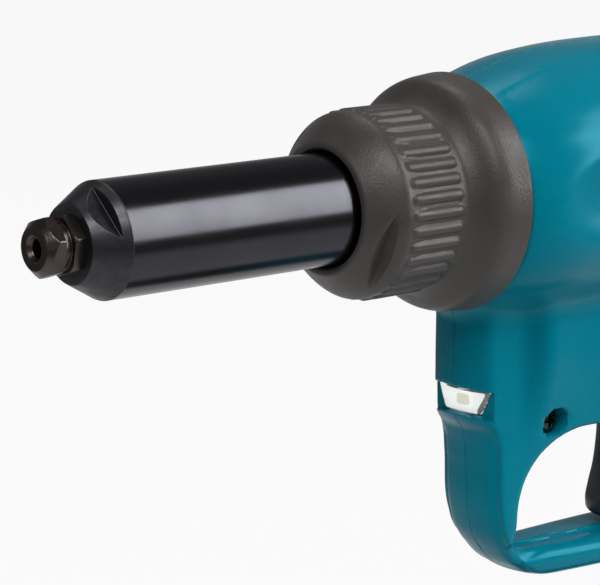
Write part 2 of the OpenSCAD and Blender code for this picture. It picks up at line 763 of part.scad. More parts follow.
// Pulling line
module jaw_case() color("gray") turned([[nose_bore_d / 2 + jaw_gap, jaw_case_x],
    [jaw_case_r - jaw_floor, jaw_case_x], [jaw_case_r, jaw_case_x + jaw_floor], [jaw_case_r, jaw_rear_x],
    [spindle_r + run_gap, jaw_rear_x], [spindle_r + run_gap, spindle_x],
    [jaw_case_r - jaw_case_wall, spindle_x], [jaw_case_r - jaw_case_wall, jaws_x + jaw_len],
    [jaw_cone_share * pusher_r + jaw_gap, jaws_x],
    [nose_bore_d / 2 + jaw_gap, jaws_x]]);
module jaws() color("darkgray") difference() {
    turned([[jaw_teeth_r, jaws_x + run_gap], [jaw_cone_share * pusher_r, jaws_x + run_gap],
        [pusher_r - jaw_gap, jaws_x + jaw_len], [jaw_teeth_r, jaws_x + jaw_len]]);
    for (a = [0 : 120 : 240]) rotate([a, 0, 0]) translate([jaws_x - over, -jaw_gap / 2, 0])
        cube([jaw_len + 2 * over, jaw_gap, jaw_case_r]);
}
module jaw_pusher() color("darkgray") turned([[pusher_bore_r, pusher_x], [pusher_r, pusher_x],
    [pusher_r, pusher_x + pusher_len], [pusher_bore_r, pusher_x + pusher_len]]);
// Coil spring as one tube swept along a helix
module jaw_spring() color("gray") {
    rings = spring_turns * spring_rings;
    points = [for (i = [0 : rings], j = [0 : spring_sides - 1])
        let (a = 360 * i / spring_rings, b = 360 * j / spring_sides, r = spring_r + spring_wire / 2 * cos(b))
        [spring_x0 + (spring_x1 - spring_x0) * i / rings + spring_wire / 2 * sin(b), r * cos(a), r * sin(a)]];
    sides = [for (i = [0 : rings - 1], j = [0 : spring_sides - 1])
        let (k = (j + 1) % spring_sides, p = i * spring_sides)
        each [[p + j, p + k, p + spring_sides + j], [p + k, p + spring_sides + k, p + spring_sides + j]]];
    ends = [[for (j = [spring_sides - 1 : -1 : 0]) j],
        [for (j = [0 : spring_sides - 1]) rings * spring_sides + j]];
    polyhedron(points, concat(sides, ends));
}
module pull_spindle() color("silver") turned([[spindle_bore_r, spindle_x], [spindle_r, spindle_x],
    [spindle_r, spindle_end], [spindle_bore_r, spindle_end]]);
module mandrel_tube() color("gray") ring(spindle_end - mandrel_tube_lap, mandrel_tube_len, mandrel_tube_r,
    mandrel_tube_bore_r);

// Nut and gear case
module ball_nut() color("silver") ring(nut_x, nut_len, nut_r, nut_bore_r);
module gear_plan(teeth, mod, play, phase, tip = tip_share, root = root_share)
    polygon(gear_outline(teeth, mod * teeth / 2, mod * (teeth / 2 + tip), mod * (teeth / 2 - root), play,
        phase));
module spur_gear(x, w, teeth, mod, play, phase) along_x(x)
    linear_extrude(w) gear_plan(teeth, mod, play, phase);
module nut_gear() color("gray") difference() {
    spur_gear(gear_x, gear_w, nut_teeth, gear_module, gear_backlash, 0);
    rod(gear_x - over, gear_w + 2 * over, nut_r);
}
module nut_bearings() color("lightgray") for (x = [nut_x, nut_end - bearing_w])
    ring(x, bearing_w, bearing_r, nut_r + run_gap);
module gear_case() color("silver") difference() {
    union() {
        rod(case_x, case_end - case_x, case_r);
        rod(case_x, lobe_end - case_x, lobe_r, motor_drop);
        block(case_x, motor_drop, lobe_end - case_x, lobe_r, motor_drop);
    }
    rod(case_x - over, case_end - case_x + 2 * over, spindle_r + over);
    rod(nut_x - slide_gap, nut_len + 2 * slide_gap, nut_r + slide_gap);
    rod(nut_x, bearing_w, bearing_r);
    rod(nut_end - bearing_w, bearing_w, bearing_r);
    rod(nut_x + bearing_w, nut_len - 2 * bearing_w, case_cavity_r);
    rod(ring_x, ring_w, ring_r, motor_drop);
    rod(ring_x + ring_w, carrier_t + 2 * over, carrier_r + over, motor_drop);
    rod(gear_x - over, gear_w + 2 * over, pinion_hole_r, motor_drop);
    rod(journal_x, journal_w, journal_bearing_r, motor_drop);
    rod(ring_x + ring_w, gear_x - ring_x, journal_r + over, motor_drop);
    rod(gear_x + gear_w, journal_end + slide_gap - gear_x - gear_w, journal_bearing_r, motor_drop);
    rod(case_x - over, ring_x - case_x + 2 * over, motor_bearing_r, motor_drop);
}
module pinion_bearings() color("lightgray")
    for (x = [journal_x, journal_end - journal_w])
        ring(x, journal_w, journal_bearing_r, journal_r + run_gap, motor_drop);

// Planet stage
module carrier() color("gray") translate([0, 0, -motor_drop]) {
    spur_gear(gear_x, gear_w, pinion_teeth, gear_module, gear_backlash, 180 / pinion_teeth);
    rod(carrier_x + carrier_t, journal_end - carrier_x - carrier_t, journal_r);
    rod(carrier_x, carrier_t, carrier_r);
    for (i = [0 : planet_count - 1]) along_x(ring_x + over) rotate(360 * i / planet_count)
        translate([planet_orbit, 0, 0]) cylinder(h = carrier_x - ring_x, r = planet_bore_r, $fn = round_fn);
}
module planet_gear(i) color("silver") along_x(ring_x + over, motor_drop) rotate(360 * i / planet_count)
    translate([planet_orbit, 0, 0]) difference() {
        linear_extrude(planet_w) gear_plan(planet_teeth, planet_module, planet_backlash, 180 / planet_teeth);
        translate([0, 0, -over])
            cylinder(h = planet_w + 2 * over, r = planet_bore_r + run_gap, $fn = round_fn);
    }
module ring_gear() color("gray") along_x(ring_x, motor_drop) linear_extrude(ring_w) difference() {
    circle(ring_r, $fn = round_fn);
    gear_plan(ring_teeth, planet_module, -planet_backlash, 180 / ring_teeth, root_share, tip_share);
}

// Motor
module rotor_shaft() color("silver") translate([0, 0, -motor_drop]) {
    rod(motor_x - over, ring_x + planet_w + over - motor_x, shaft_r);
    spur_gear(ring_x + slide_gap, planet_w, sun_teeth, planet_module, planet_backlash, 0);
}
module rotor_core() color("gray")
    ring(stator_x + rotor_inset, rotor_len, rotor_r, shaft_r, motor_drop);
module fan() color("black") difference() {
    union() {
        rod(fan_x, fan_web, fan_r, motor_drop);
        rod(fan_x, fan_t, fan_hub_r, motor_drop);
        for (i = [0 : fan_blades - 1]) along_x(fan_x, motor_drop) rotate(360 * i / fan_blades)
            translate([fan_hub_r - over, -fan_blade_t / 2, fan_web / 2])
                cube([fan_r - fan_hub_r, fan_blade_t, fan_t - fan_web]);
    }
    rod(fan_x - over, fan_t + 2 * over, shaft_r, motor_drop);
}
module stator() color("dimgray") difference() {
    ring(stator_x, stator_len, stator_r, stator_bore_r, motor_drop);
    for (i = [0 : slot_count - 1]) along_x(stator_x - over, motor_drop) rotate(360 * i / slot_count)
        translate([0, -slot_w / 2, 0]) cube([stator_bore_r + slot_depth, slot_w, stator_len + 2 * over]);
}
module motor_bearings() color("lightgray") for (x = [motor_x, rear_bearing_x])
    ring(x, motor_bearing_w, motor_bearing_r, shaft_r + run_gap, motor_drop);

// Light, trigger and electrics
// The lens seen from the front, wider at the top, grown by side and below, and by above at its top
module lens_face(side, above) polygon([[lens_half + side, lens_h / 2 + above],
    [lens_foot_half + side, -lens_h / 2 - side], [-lens_foot_half - side, -lens_h / 2 - side],
    [-lens_half - side, lens_h / 2 + above]]);
module lens_block(lead, depth, side, above) translate([lens_x - lead, 0, -lens_drop])
    rotate([90, 0, 90]) linear_extrude(depth) lens_face(side, above);
module light_lens() color("whitesmoke") intersection() {
    lens_block(0, lens_t, 0, 0);
    translate([lens_x, 0, -lens_drop]) linear_extrude(lens_h, center = true)
        polygon([[0, lens_flat_share * lens_half], [lens_bow, lens_half], [lens_t, lens_half],
            [lens_t, -lens_half], [lens_bow, -lens_half], [0, -lens_flat_share * lens_half]]);
}
module light_board() color("ivory") block(lens_x + lens_t + board_gap, lens_drop + lens_h / 2, board_t,
    lens_half, lens_h);
module trigger_slice(drop, x) translate([0, 0, -drop]) linear_extrude(slice) intersection() {
    union() {
        translate([x + trigger_w / 2, 0]) circle(trigger_w / 2, $fn = section_points);
        translate([x + trigger_w / 2, -trigger_w / 2]) square([trigger_rise + trigger_depth, trigger_w]);
    }
    translate([x, -trigger_w / 2]) square([trigger_back - x, trigger_w]);
}
module trigger() color("dimgray") {
    levels = [[trigger_foot_drop, trigger_x + trigger_foot_share * trigger_rise],
        [trigger_tip_drop, trigger_x], [stem_drop, trigger_x + trigger_stem_share * trigger_rise],
        [trigger_head_drop, trigger_x + trigger_rise]];
    for (i = [0 : len(levels) - 2]) hull() {
        trigger_slice(levels[i][0], levels[i][1]);
        trigger_slice(levels[i + 1][0], levels[i + 1][1]);
    }
    rod(trigger_back - over, stem_end - trigger_back + over, stem_r, stem_drop);
}
module switch_body() color("dimgray") difference() {
    block(switch_x, stem_drop + switch_h / 2, switch_len, switch_w / 2, switch_h);
    rod(switch_x - over, stem_end - switch_x + trigger_travel + 2 * over, stem_r + run_gap, stem_drop);
}
module controller() color("seagreen")
    block(controller_x, controller_drop, board_len, board_w / 2, controller_h);
module terminal_block() color("goldenrod") {
    block(terminal_x, foot_drop - tongue_h, terminal_len, terminal_half, terminal_h);
    for (y = blade_places) translate([terminal_x, y - blade_t / 2, -foot_drop + tongue_h - blade_drop])
        cube([terminal_len, blade_t, blade_drop]);
}

// Battery
module battery_block(h, len, width, r) linear_extrude(h) rounded_rect(len, width, r);
module battery_upper_case() color("dimgray") difference() {
    union() {
        translate([battery_x + battery_len / 2, 0, -foot_drop - battery_split])
            battery_block(battery_split - slide_gap, battery_len, battery_w, battery_round);
        difference() {
            block(tongue_x, foot_drop + over, tongue_end - tongue_x, tongue_half, tongue_h + over);
            for (s = [-1, 1]) translate([tongue_x - over, s * tongue_half - groove_depth,
                -foot_drop + groove_rise]) cube([battery_len, 2 * groove_depth, groove_h]);
        }
    }
    translate([battery_x + battery_len / 2, 0, -foot_drop - battery_split - over])
        battery_block(battery_split - battery_wall - slide_gap + over,
            battery_len - 2 * battery_wall - 2 * button_t, battery_w - 2 * battery_wall, battery_inner_round);
    for (y = blade_places) translate([terminal_x - slide_gap, y - blade_t / 2 - slide_gap,
        -foot_drop + tongue_h - blade_drop - slide_gap])
        cube([battery_len, blade_t + 2 * slide_gap, blade_drop + over]);
    block(battery_x - over, foot_drop + button_drop + button_h + button_travel + slide_gap,
        button_t + over + slide_gap, button_half + slide_gap,
        button_h + button_travel + 2 * slide_gap + button_drop + over);
    block(battery_x, foot_drop + button_travel + hook_t, button_t + hook_reach + slide_gap,
        hook_half + slide_gap, button_travel + hook_t + tongue_h + over);
}
module battery_lower_case() color("dimgray") difference() {
    translate([battery_x + battery_len / 2, 0, -base_drop])
        battery_block(battery_h - battery_split, battery_len, battery_w, battery_round);
    translate([battery_x + battery_len / 2, 0, -base_drop + battery_wall])
        battery_block(battery_h, battery_len - 2 * battery_wall - 2 * button_t, battery_w - 2 * battery_wall,
            battery_inner_round);
}
module battery_cells() color("steelblue") for (i = [0 : cell_columns - 1], row = [0, 1])
    translate([battery_x + battery_len / 2 + (i - (cell_columns - 1) / 2) * cell_pitch, cell_len / 2,
        -base_drop + battery_wall + seat_gap + cell_d / 2 + row * cell_pitch])
        rotate([90, 0, 0]) cylinder(h = cell_len, d = cell_d, $fn = round_fn);
module release_button() color("crimson") union() {
    block(battery_x, foot_drop + button_drop + button_h, button_t, button_half, button_h);
    block(battery_x + button_t / 2, foot_drop + hook_t, hook_reach, hook_half, hook_t);
    block(battery_x + button_t / 2 + hook_reach - hook_tooth, foot_drop + hook_t, hook_tooth, hook_half,
        hook_t + hook_tooth_h);
}

// Rear end
module container_socket() color("dimgray") difference() {
    rod(socket_x, socket_t + spigot_len, spigot_r);
    rod(socket_x + socket_t, spigot_len + over, spigot_r - spigot_wall);
    rod(socket_x - over, socket_t + 2 * over, mandrel_tube_r + run_gap);
}
module mandrel_container() color("slategray") turned([[spigot_r + seat_gap, container_x],
    [container_d / 2, container_x], [container_d / 2, container_x + container_len - 2 * container_wall],
    [container_d / 2 - 2 * container_wall, container_x + container_len], [0, container_x + container_len],
    [0, container_x + container_len - container_wall],
    [container_d / 2 - 2 * container_wall, container_x + container_len - container_wall],
    [spigot_r + seat_gap, container_x + container_len - 2 * container_wall]]);

placed() housing_half(-1);  // housing_left
placed() housing_half(1);  // housing_right
placed() grip();
placed() housing_screws();
placed() lock_collar();
placed() nose_tube();
placed() nosepiece();
placed() front_frame();
placed() jaw_case();
placed() jaws();
placed() jaw_pusher();
placed() jaw_spring();
placed() pull_spindle();
placed() mandrel_tube();
placed() container_socket();
placed() mandrel_container();
placed() ball_nut();
placed() nut_gear();
placed() nut_bearings();
placed() gear_case();
placed() carrier();
placed() pinion_bearings();
placed() planet_gear(0);  // planet_gear_1
placed() planet_gear(1);  // planet_gear_2
placed() planet_gear(2);  // planet_gear_3
placed() ring_gear();
placed() rotor_shaft();
placed() rotor_core();
placed() fan();
placed() stator();
placed() motor_bearings();
placed() light_board();
placed() light_lens();
placed() trigger();
placed() switch_body();
placed() controller();
placed() terminal_block();
placed() battery_upper_case();
placed() battery_lower_case();
placed() battery_cells();
placed() release_button();
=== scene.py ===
"""A battery rivet tool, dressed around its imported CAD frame.

Sizes are millimetres in the tool's own frame: x runs back from the housing's front face along the barrel,
z rises from the barrel axis, and y = 0 is the parting plane of the housing. Placement carries them into the
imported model's metres.
"""

import logging
import math
from dataclasses import dataclass, field
from enum import Enum
from typing import Any, Callable, Mapping, Optional, Sequence

import bmesh
import bpy
import numpy as np
from mathutils import Matrix, Vector


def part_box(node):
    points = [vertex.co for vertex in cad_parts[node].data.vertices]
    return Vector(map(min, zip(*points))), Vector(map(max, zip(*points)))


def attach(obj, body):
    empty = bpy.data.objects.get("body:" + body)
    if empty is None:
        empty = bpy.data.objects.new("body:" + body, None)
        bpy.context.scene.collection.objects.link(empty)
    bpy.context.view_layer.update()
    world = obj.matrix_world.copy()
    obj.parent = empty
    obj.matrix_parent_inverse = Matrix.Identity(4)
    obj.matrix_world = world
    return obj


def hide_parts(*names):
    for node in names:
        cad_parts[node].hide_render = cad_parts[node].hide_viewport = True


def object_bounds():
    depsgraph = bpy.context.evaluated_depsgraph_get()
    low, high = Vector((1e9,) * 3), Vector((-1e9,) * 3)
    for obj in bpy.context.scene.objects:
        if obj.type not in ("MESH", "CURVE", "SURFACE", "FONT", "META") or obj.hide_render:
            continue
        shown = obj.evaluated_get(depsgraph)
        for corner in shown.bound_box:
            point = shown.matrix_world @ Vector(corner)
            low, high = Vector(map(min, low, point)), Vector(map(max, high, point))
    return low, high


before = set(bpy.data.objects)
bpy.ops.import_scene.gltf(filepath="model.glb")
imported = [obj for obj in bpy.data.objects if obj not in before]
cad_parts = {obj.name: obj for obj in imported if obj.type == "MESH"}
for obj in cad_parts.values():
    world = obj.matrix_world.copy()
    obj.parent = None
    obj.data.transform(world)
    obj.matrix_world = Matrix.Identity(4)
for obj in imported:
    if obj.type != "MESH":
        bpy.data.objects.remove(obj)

LOG = logging.getLogger("rivet_tool")
CAD_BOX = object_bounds()
MM = 0.001
TINY = 1e-9
WELD_DISTANCE = 0.004 * MM
SETTLE_ROUNDS = 3
SETTLE_REACH = 0.35
SETTLE_STEP = 0.02
SETTLE_DAMPING = 0.05
# Radians by which Blender's band wave turns over one unit of its scale
WAVE_RATE = 20.0

Array = np.ndarray
Pair = tuple[float, float]
Triple = tuple[float, float, float]
Table = tuple[tuple[float, ...], ...]
Field = Callable[[Array, Array, Array], Array]
RadiusRule = Callable[[Array, Array, Array], Array]


# Number helpers


def smooth_max(a: Array, b: Array, blend: float) -> Array:
    """The larger of two fields, with the corner between them rounded over a width.

    Args:
        a: First field.
        b: Second field.
        blend: Width over which the two run into each other.

    Returns:
        max(a, b) plus a quarter of blend times the squared overlap.
    """
    overlap = np.maximum(blend - np.abs(a - b), 0.0) / blend
    return np.maximum(a, b) + overlap * overlap * blend * 0.25


def smooth_min(a: Array, b: Array, blend: float) -> Array:
    """The smaller of two fields with a rounded inner corner: the mirror of smooth_max."""
    return -smooth_max(-a, -b, blend)


def smooth_step(value: Array, low: float, high: float) -> Array:
    """Zero below low, one above high, and the cubic 3t^2 - 2t^3 between."""
    share = np.clip((value - low) / (high - low), 0.0, 1.0)
    return share * share * (3.0 - 2.0 * share)


def along(table: Sequence[Sequence[float]], place: Array) -> list[Array]:
    """Reads the columns of a table of sections at given places, with cubic Hermite curves between rows.

    Args:
        table: Rows of place, value, value and so on, in rising order of place.
        place: Where to read it.

    Returns:
        One array for each value column. Beyond the ends the end rows hold.
    """
    rows = np.asarray(table, float)
    knots = rows[:, 0]
    slopes = np.gradient(rows[:, 1:], knots, axis=0)
    spot = np.clip(place, knots[0], knots[-1])
    low = np.clip(np.searchsorted(knots, spot, side="right") - 1, 0, len(knots) - 2)
    gap = knots[low + 1] - knots[low]
    t = (spot - knots[low]) / gap
    h0, h1 = (1 + 2 * t) * (1 - t) ** 2, t * (1 - t) ** 2 * gap
    h2, h3 = t * t * (3 - 2 * t), t * t * (t - 1) * gap
    return [h0 * rows[low, c + 1] + h1 * slopes[low, c] + h2 * rows[low + 1, c + 1] + h3 * slopes[low + 1, c]
            for c in range(rows.shape[1] - 1)]


def largest(*fields: Array) -> Array:
    """The largest of several fields at each place."""
    return np.maximum.reduce(np.broadcast_arrays(*fields))


def less(form: Array, cuts: Sequence[Array]) -> Array:
    """A field with others cut out of it."""
    for cut in cuts:
        form = np.maximum(form, -cut)
    return form


def box_field(x: Array, y: Array, z: Array, low: Sequence[float], high: Sequence[float]) -> Array:
    """Largest of the six signed distances to a box's faces: negative inside."""
    return largest(low[0] - x, x - high[0], low[1] - y, y - high[1], low[2] - z, z - high[2])


def oval_field(a: Array, b: Array, half_a: Array, half_b: Array, squareness: Array) -> Array:
    """Distance, near the outline, to the superellipse (a/A)^n + (b/B)^n = 1: negative inside."""
    reach = (np.abs(a) / half_a) ** squareness + (np.abs(b) / half_b) ** squareness
    return (reach ** (1 / squareness) - 1) * np.minimum(half_a, half_b)


def flats_field(angle: Array, half: Array, turn: float) -> Array:
    """Radius of two parallel flats at an angle: their half distance over the cosine from their turn."""
    return half / np.maximum(np.abs(np.cos(angle - turn)), 1e-3)


def angles(count: int) -> Array:
    """Evenly spaced angles once round, from 0."""
    return np.linspace(0.0, 2 * math.pi, count, endpoint=False)


def line_side(x: Array, y: Array, start: tuple[Array, Array], end: tuple[Array, Array]) -> Array:
    """Signed distance of plan points to a line, positive on its left as it runs from start to end."""
    dx, dy = end[0] - start[0], end[1] - start[1]
    return (dx * (y - start[1]) - dy * (x - start[0])) / np.hypot(dx, dy)


# Surfaces


@dataclass
class Surface:
    """Points in tool millimetres with the faces that join them, as one array of quads."""

    points: Array
    quads: Array

    def outward(self) -> "Surface":
        """Turns the faces round where the enclosed volume, the sum of their tetrahedra, is negative."""
        a, b, c, d = (self.points[self.quads[:, i]] for i in range(4))
        volume = np.sum(np.cross(a, b) * c) + np.sum(np.cross(a, c) * d)
        return Surface(self.points, self.quads[:, ::-1]) if volume < 0 else self

    def moved(self, x: float = 0.0, y: float = 0.0, z: float = 0.0) -> "Surface":
        """The same surface shifted."""
        return Surface(self.points + np.array((x, y, z)), self.quads)

    def mirrored(self) -> "Surface":
        """The surface's image in the parting plane, with its faces turned to stay outward."""
        return Surface(self.points * np.array((1.0, -1.0, 1.0)), self.quads[:, ::-1])


def joined(parts: Sequence[Surface]) -> Surface:
    """Several surfaces as one, with the indices of later ones moved on by the points before them."""
    starts = np.cumsum([0] + [len(p.points) for p in parts[:-1]])
    return Surface(np.concatenate([p.points for p in parts]),
                   np.concatenate([p.quads + s for p, s in zip(parts, starts)]))


def grid_surface(points: Array, close_rows: bool = False) -> Surface:
    """Joins a grid of points into quads, its last column with its first.

    Args:
        points: Grid of shape rows, columns, 3.
        close_rows: Whether the last row joins the first.

    Returns:
        The surface, with its faces outward.
    """
    rows, columns = points.shape[:2]
    index = np.arange(rows * columns).reshape(rows, columns)
    index = np.concatenate([index, index[:, :1]], axis=1)
    if close_rows:
        index = np.concatenate([index, index[:1]])
    quads = np.stack([index[:-1, :-1], index[1:, :-1], index[1:, 1:], index[:-1, 1:]], axis=-1)
    return Surface(points.reshape(-1, 3), quads.reshape(-1, 4)).outward()


def rounded_path(corners: Sequence[Sequence[float]], steps: int = 5) -> Array:
    """A loop of straight runs whose corners are rounded by quadratic Bezier arcs.

    Args:
        corners: Rows of two coordinates and the length that the rounding takes from each side.
        steps: Points on each arc.

    Returns:
        Points of the rounded loop.
    """
    rows = np.asarray(corners, float)
    here, reach = rows[:, :2], rows[:, 2:3]
    ends = []
    for neighbour in (1, -1):
        away = np.roll(here, neighbour, axis=0) - here
        span = np.maximum(np.linalg.norm(away, axis=1, keepdims=True), TINY)
        ends.append((here + away / span * np.minimum(reach, 0.5 * span))[:, None])
    t = np.linspace(0.0, 1.0, steps)[None, :, None]
    return ((1 - t) ** 2 * ends[0] + 2 * t * (1 - t) * here[:, None] + t * t * ends[1]).reshape(-1, 2)


def refined(loop: Array, step: float) -> Array:
    """Adds points on a loop's longer runs, so that no two neighbours lie further apart than a step."""
    ends = np.concatenate([loop, loop[:1]])
    spans = np.linalg.norm(np.diff(ends, axis=0), axis=1)
    counts = np.maximum(np.ceil(spans / step).astype(int), 1)
    owner = np.repeat(np.arange(len(counts)), counts)
    share = (np.arange(len(owner)) - np.repeat(np.cumsum(counts) - counts, counts)) / counts[owner]
    return ends[owner] + (ends[owner + 1] - ends[owner]) * share[:, None]


def revolve(profile: Array, segments: int, rule: Optional[RadiusRule] = None, closed: bool = True) -> Surface:
    """Turns a profile about the barrel axis: point (x, r) at the angle a goes to (x, -r cos a, r sin a).

    Args:
        profile: Rows of x and radius.
        segments: Columns round the axis.
        rule: Changes the radius by x and angle, for flats and ribs.
        closed: Whether the profile is a loop, as a tube's is.

    Returns:
        The turned surface.
    """
    angle = angles(segments)[None, :]
    x, radius = (profile[:, c:c + 1] + 0 * angle for c in (0, 1))
    if rule is not None:
        radius = rule(x, angle, radius)
    points = np.stack([x, -radius * np.cos(angle), radius * np.sin(angle)], axis=-1)
    return grid_surface(points, close_rows=closed)


def loft(rings: Array) -> Surface:
    """Skins a stack of rings and closes both ends to the middle of the end rings."""
    caps = [np.broadcast_to(ring.mean(axis=0), ring.shape) for ring in (rings[0], rings[-1])]
    return grid_surface(np.concatenate([caps[0][None], rings, caps[1][None]]))


def superellipse(half_x: Array, half_y: Array, squareness: float, count: int) -> tuple[Array, Array]:
    """Outline x = a |cos t|^(2/n), y = b |sin t|^(2/n) with the signs of the cosine and the sine."""
    t = angles(count)
    c, s = np.cos(t), np.sin(t)
    return (half_x * np.sign(c) * np.abs(c) ** (2 / squareness),
            half_y * np.sign(s) * np.abs(s) ** (2 / squareness))


def settle(points: Array, form: Field) -> Array:
    """Moves points onto a field's zero by a few short Newton steps along its gradient."""
    step = SETTLE_STEP
    for _ in range(SETTLE_ROUNDS):
        x, y, z = points.T
        value = form(x, y, z)
        slope = np.stack([form(x + step, y, z) - form(x - step, y, z),
                          form(x, y + step, z) - form(x, y - step, z),
                          form(x, y, z + step) - form(x, y, z - step)], axis=-1) / (2 * step)
        shift = value[:, None] * slope / (np.sum(slope * slope, axis=1, keepdims=True) + SETTLE_DAMPING)
        length = np.linalg.norm(shift, axis=1, keepdims=True)
        points = points - shift * np.minimum(1.0, SETTLE_REACH / np.maximum(length, TINY))
    return points


def surface_net(form: Field, axes: Sequence[Array]) -> Surface:
    """Skins the zero of a field by a surface net, for forms that no single grid of two parameters gives.

    Each lattice cell that the zero crosses holds one point, the mean of the crossings on its edges, and each
    crossed lattice edge gives the quad of the four cells round it. The points then settle onto the field.

    Args:
        form: Field in millimetres, negative inside.
        axes: Lattice coordinates along x, y and z.

    Returns:
        The closed surface.
    """
    values = form(axes[0][:, None, None], axes[1][None, :, None], axes[2][None, None, :])
    cells = tuple(n - 1 for n in values.shape)
    total = int(np.prod(cells))
    sums = np.zeros((4, total))
    quads = []
    for axis in range(3):
        low = np.moveaxis(values, axis, 0)[:-1]
        high = np.moveaxis(values, axis, 0)[1:]
        spots = np.nonzero((low < 0) != (high < 0))
        a, b = low[spots], high[spots]
        others = [i for i in range(3) if i != axis]
        index = np.empty((3, len(a)), int)
        index[axis], index[others[0]], index[others[1]] = spots
        crossing = np.stack([axes[i][index[i]] for i in range(3)])
        crossing[axis] += a / (a - b) * (axes[axis][index[axis] + 1] - axes[axis][index[axis]])
        first, second = (axis + 1) % 3, (axis + 2) % 3
        ring, sound = [], np.ones(len(a), bool)
        for back_first, back_second in ((1, 1), (0, 1), (0, 0), (1, 0)):
            cell = index.copy()
            cell[first] -= back_first
            cell[second] -= back_second
            inside = np.all((cell >= 0) & (cell < np.array(cells)[:, None]), axis=0)
            sound &= inside
            flat = np.ravel_multi_index(np.where(inside, cell, 0), cells)
            ring.append(flat)
            for i, weight in enumerate((*crossing, np.ones(len(a)))):
                sums[i] += np.bincount(flat[inside], weight[inside], total)
        quad = np.stack(ring, axis=1)
        quad = np.where((a < 0)[:, None], quad, quad[:, ::-1])
        quads.append(quad[sound])
    faces = np.concatenate(quads)
    used, remapped = np.unique(faces, return_inverse=True)
    points = (sums[:3, used] / sums[3, used]).T
    return Surface(settle(points, form), remapped.reshape(faces.shape))


def lattice(*runs: tuple[float, float, float]) -> Array:
    """Coordinates in runs of start, end and step, one after another."""
    return np.unique(np.concatenate([np.linspace(a, b, int(round((b - a) / s)) + 1) for a, b, s in runs]))


# Placing


class Placement:
    """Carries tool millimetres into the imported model's metres and makes the pieces."""

    def __init__(self) -> None:
        """Finds the tool frame's origin from the housing's front and the barrel's middle."""
        tube_low, tube_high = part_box("nose_tube")
        self.origin = np.array((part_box("housing_left")[0].x, 0.0, (tube_low.z + tube_high.z) / 2))

    def point(self, x: float, y: float, z: float) -> Vector:
        """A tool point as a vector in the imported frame."""
        return Vector(self.origin + np.array((x, y, z)) * MM)

    def piece(self, name: str, surface: Surface, finish: "Finish", body: str, slot: str,
              stands_for: Sequence[str] = (), sharp: float = 32.0) -> None:
        """Makes a mesh object of a surface and fastens it to its body.

        Args:
            name: Name of the piece.
            surface: Its points and faces.
            finish: What it is made of.
            body: CAD body that it rides on.
            slot: Name of a material slot; not used.
            stands_for: CAD nodes that it replaces.
            sharp: Angle in degrees past which an edge shades sharp.
        """
        mesh = bpy.data.meshes.new(name)
        points = self.origin + surface.points * MM
        mesh.vertices.add(len(points))
        mesh.vertices.foreach_set("co", points.astype(np.float32).ravel())
        mesh.loops.add(surface.quads.size)
        mesh.loops.foreach_set("vertex_index", surface.quads.astype(np.int32).ravel())
        mesh.polygons.add(len(surface.quads))
        mesh.polygons.foreach_set("loop_start", np.arange(0, surface.quads.size, 4, dtype=np.int32))
        mesh.update(calc_edges=True)
        welded = bmesh.new()
        welded.from_mesh(mesh)
        bmesh.ops.remove_doubles(welded, verts=welded.verts, dist=WELD_DISTANCE)
        welded.to_mesh(mesh)
        welded.free()
        mesh.validate()
        mesh.shade_smooth()
        mesh.set_sharp_from_angle(angle=math.radians(sharp))
        mesh.materials.append(finish.material())
        piece = bpy.data.objects.new(name, mesh)
        bpy.context.scene.collection.objects.link(piece)
        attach(piece, body)
        if stands_for:
            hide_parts(*stands_for)
        LOG.info("%s: %d faces on %s", name, len(mesh.polygons), body)


# Finishes


class Pattern(Enum):
    """Relief that the making of a surface leaves on it."""

    GRAIN = "eroded mould grain"
    TURNED = "rings of a turning tool about the barrel"
    DRAWN = "fine lines along the barrel"
    STACKED = "edges of stacked sheets along the barrel"
    DIMPLED = "cells of a rubber mould"


def linear(colour: str) -> tuple[float, float, float, float]:
    """An sRGB hex colour as linear red, green, blue and a full alpha."""
    channels = [int(colour[i:i + 2], 16) / 255 for i in (1, 3, 5)]
    return (*(c / 12.92 if c <= 0.04045 else ((c + 0.055) / 1.055) ** 2.4 for c in channels), 1.0)


def fill(tree: bpy.types.NodeTree, node: bpy.types.Node, inputs: Mapping[Any, Any]) -> None:
    """Fills a node's inputs by their names or numbers: an output socket is linked, any other value is set."""
    for socket, value in inputs.items():
        if isinstance(value, bpy.types.NodeSocket):
            tree.links.new(value, node.inputs[socket])
        else:
            node.inputs[socket].default_value = value


def add_node(tree: bpy.types.NodeTree, kind: str, inputs: Optional[Mapping[Any, Any]] = None,
             **settings: Any) -> bpy.types.Node:
    """Adds a node, sets its properties and fills its inputs.

    Args:
        tree: Node tree that it joins.
        kind: Node type.
        inputs: What its inputs take, as in fill.
        **settings: Properties of the node.

    Returns:
        The node.
    """
    node = tree.nodes.new(kind)
    for key, value in settings.items():
        setattr(node, key, value)
    fill(tree, node, inputs or {})
    return node


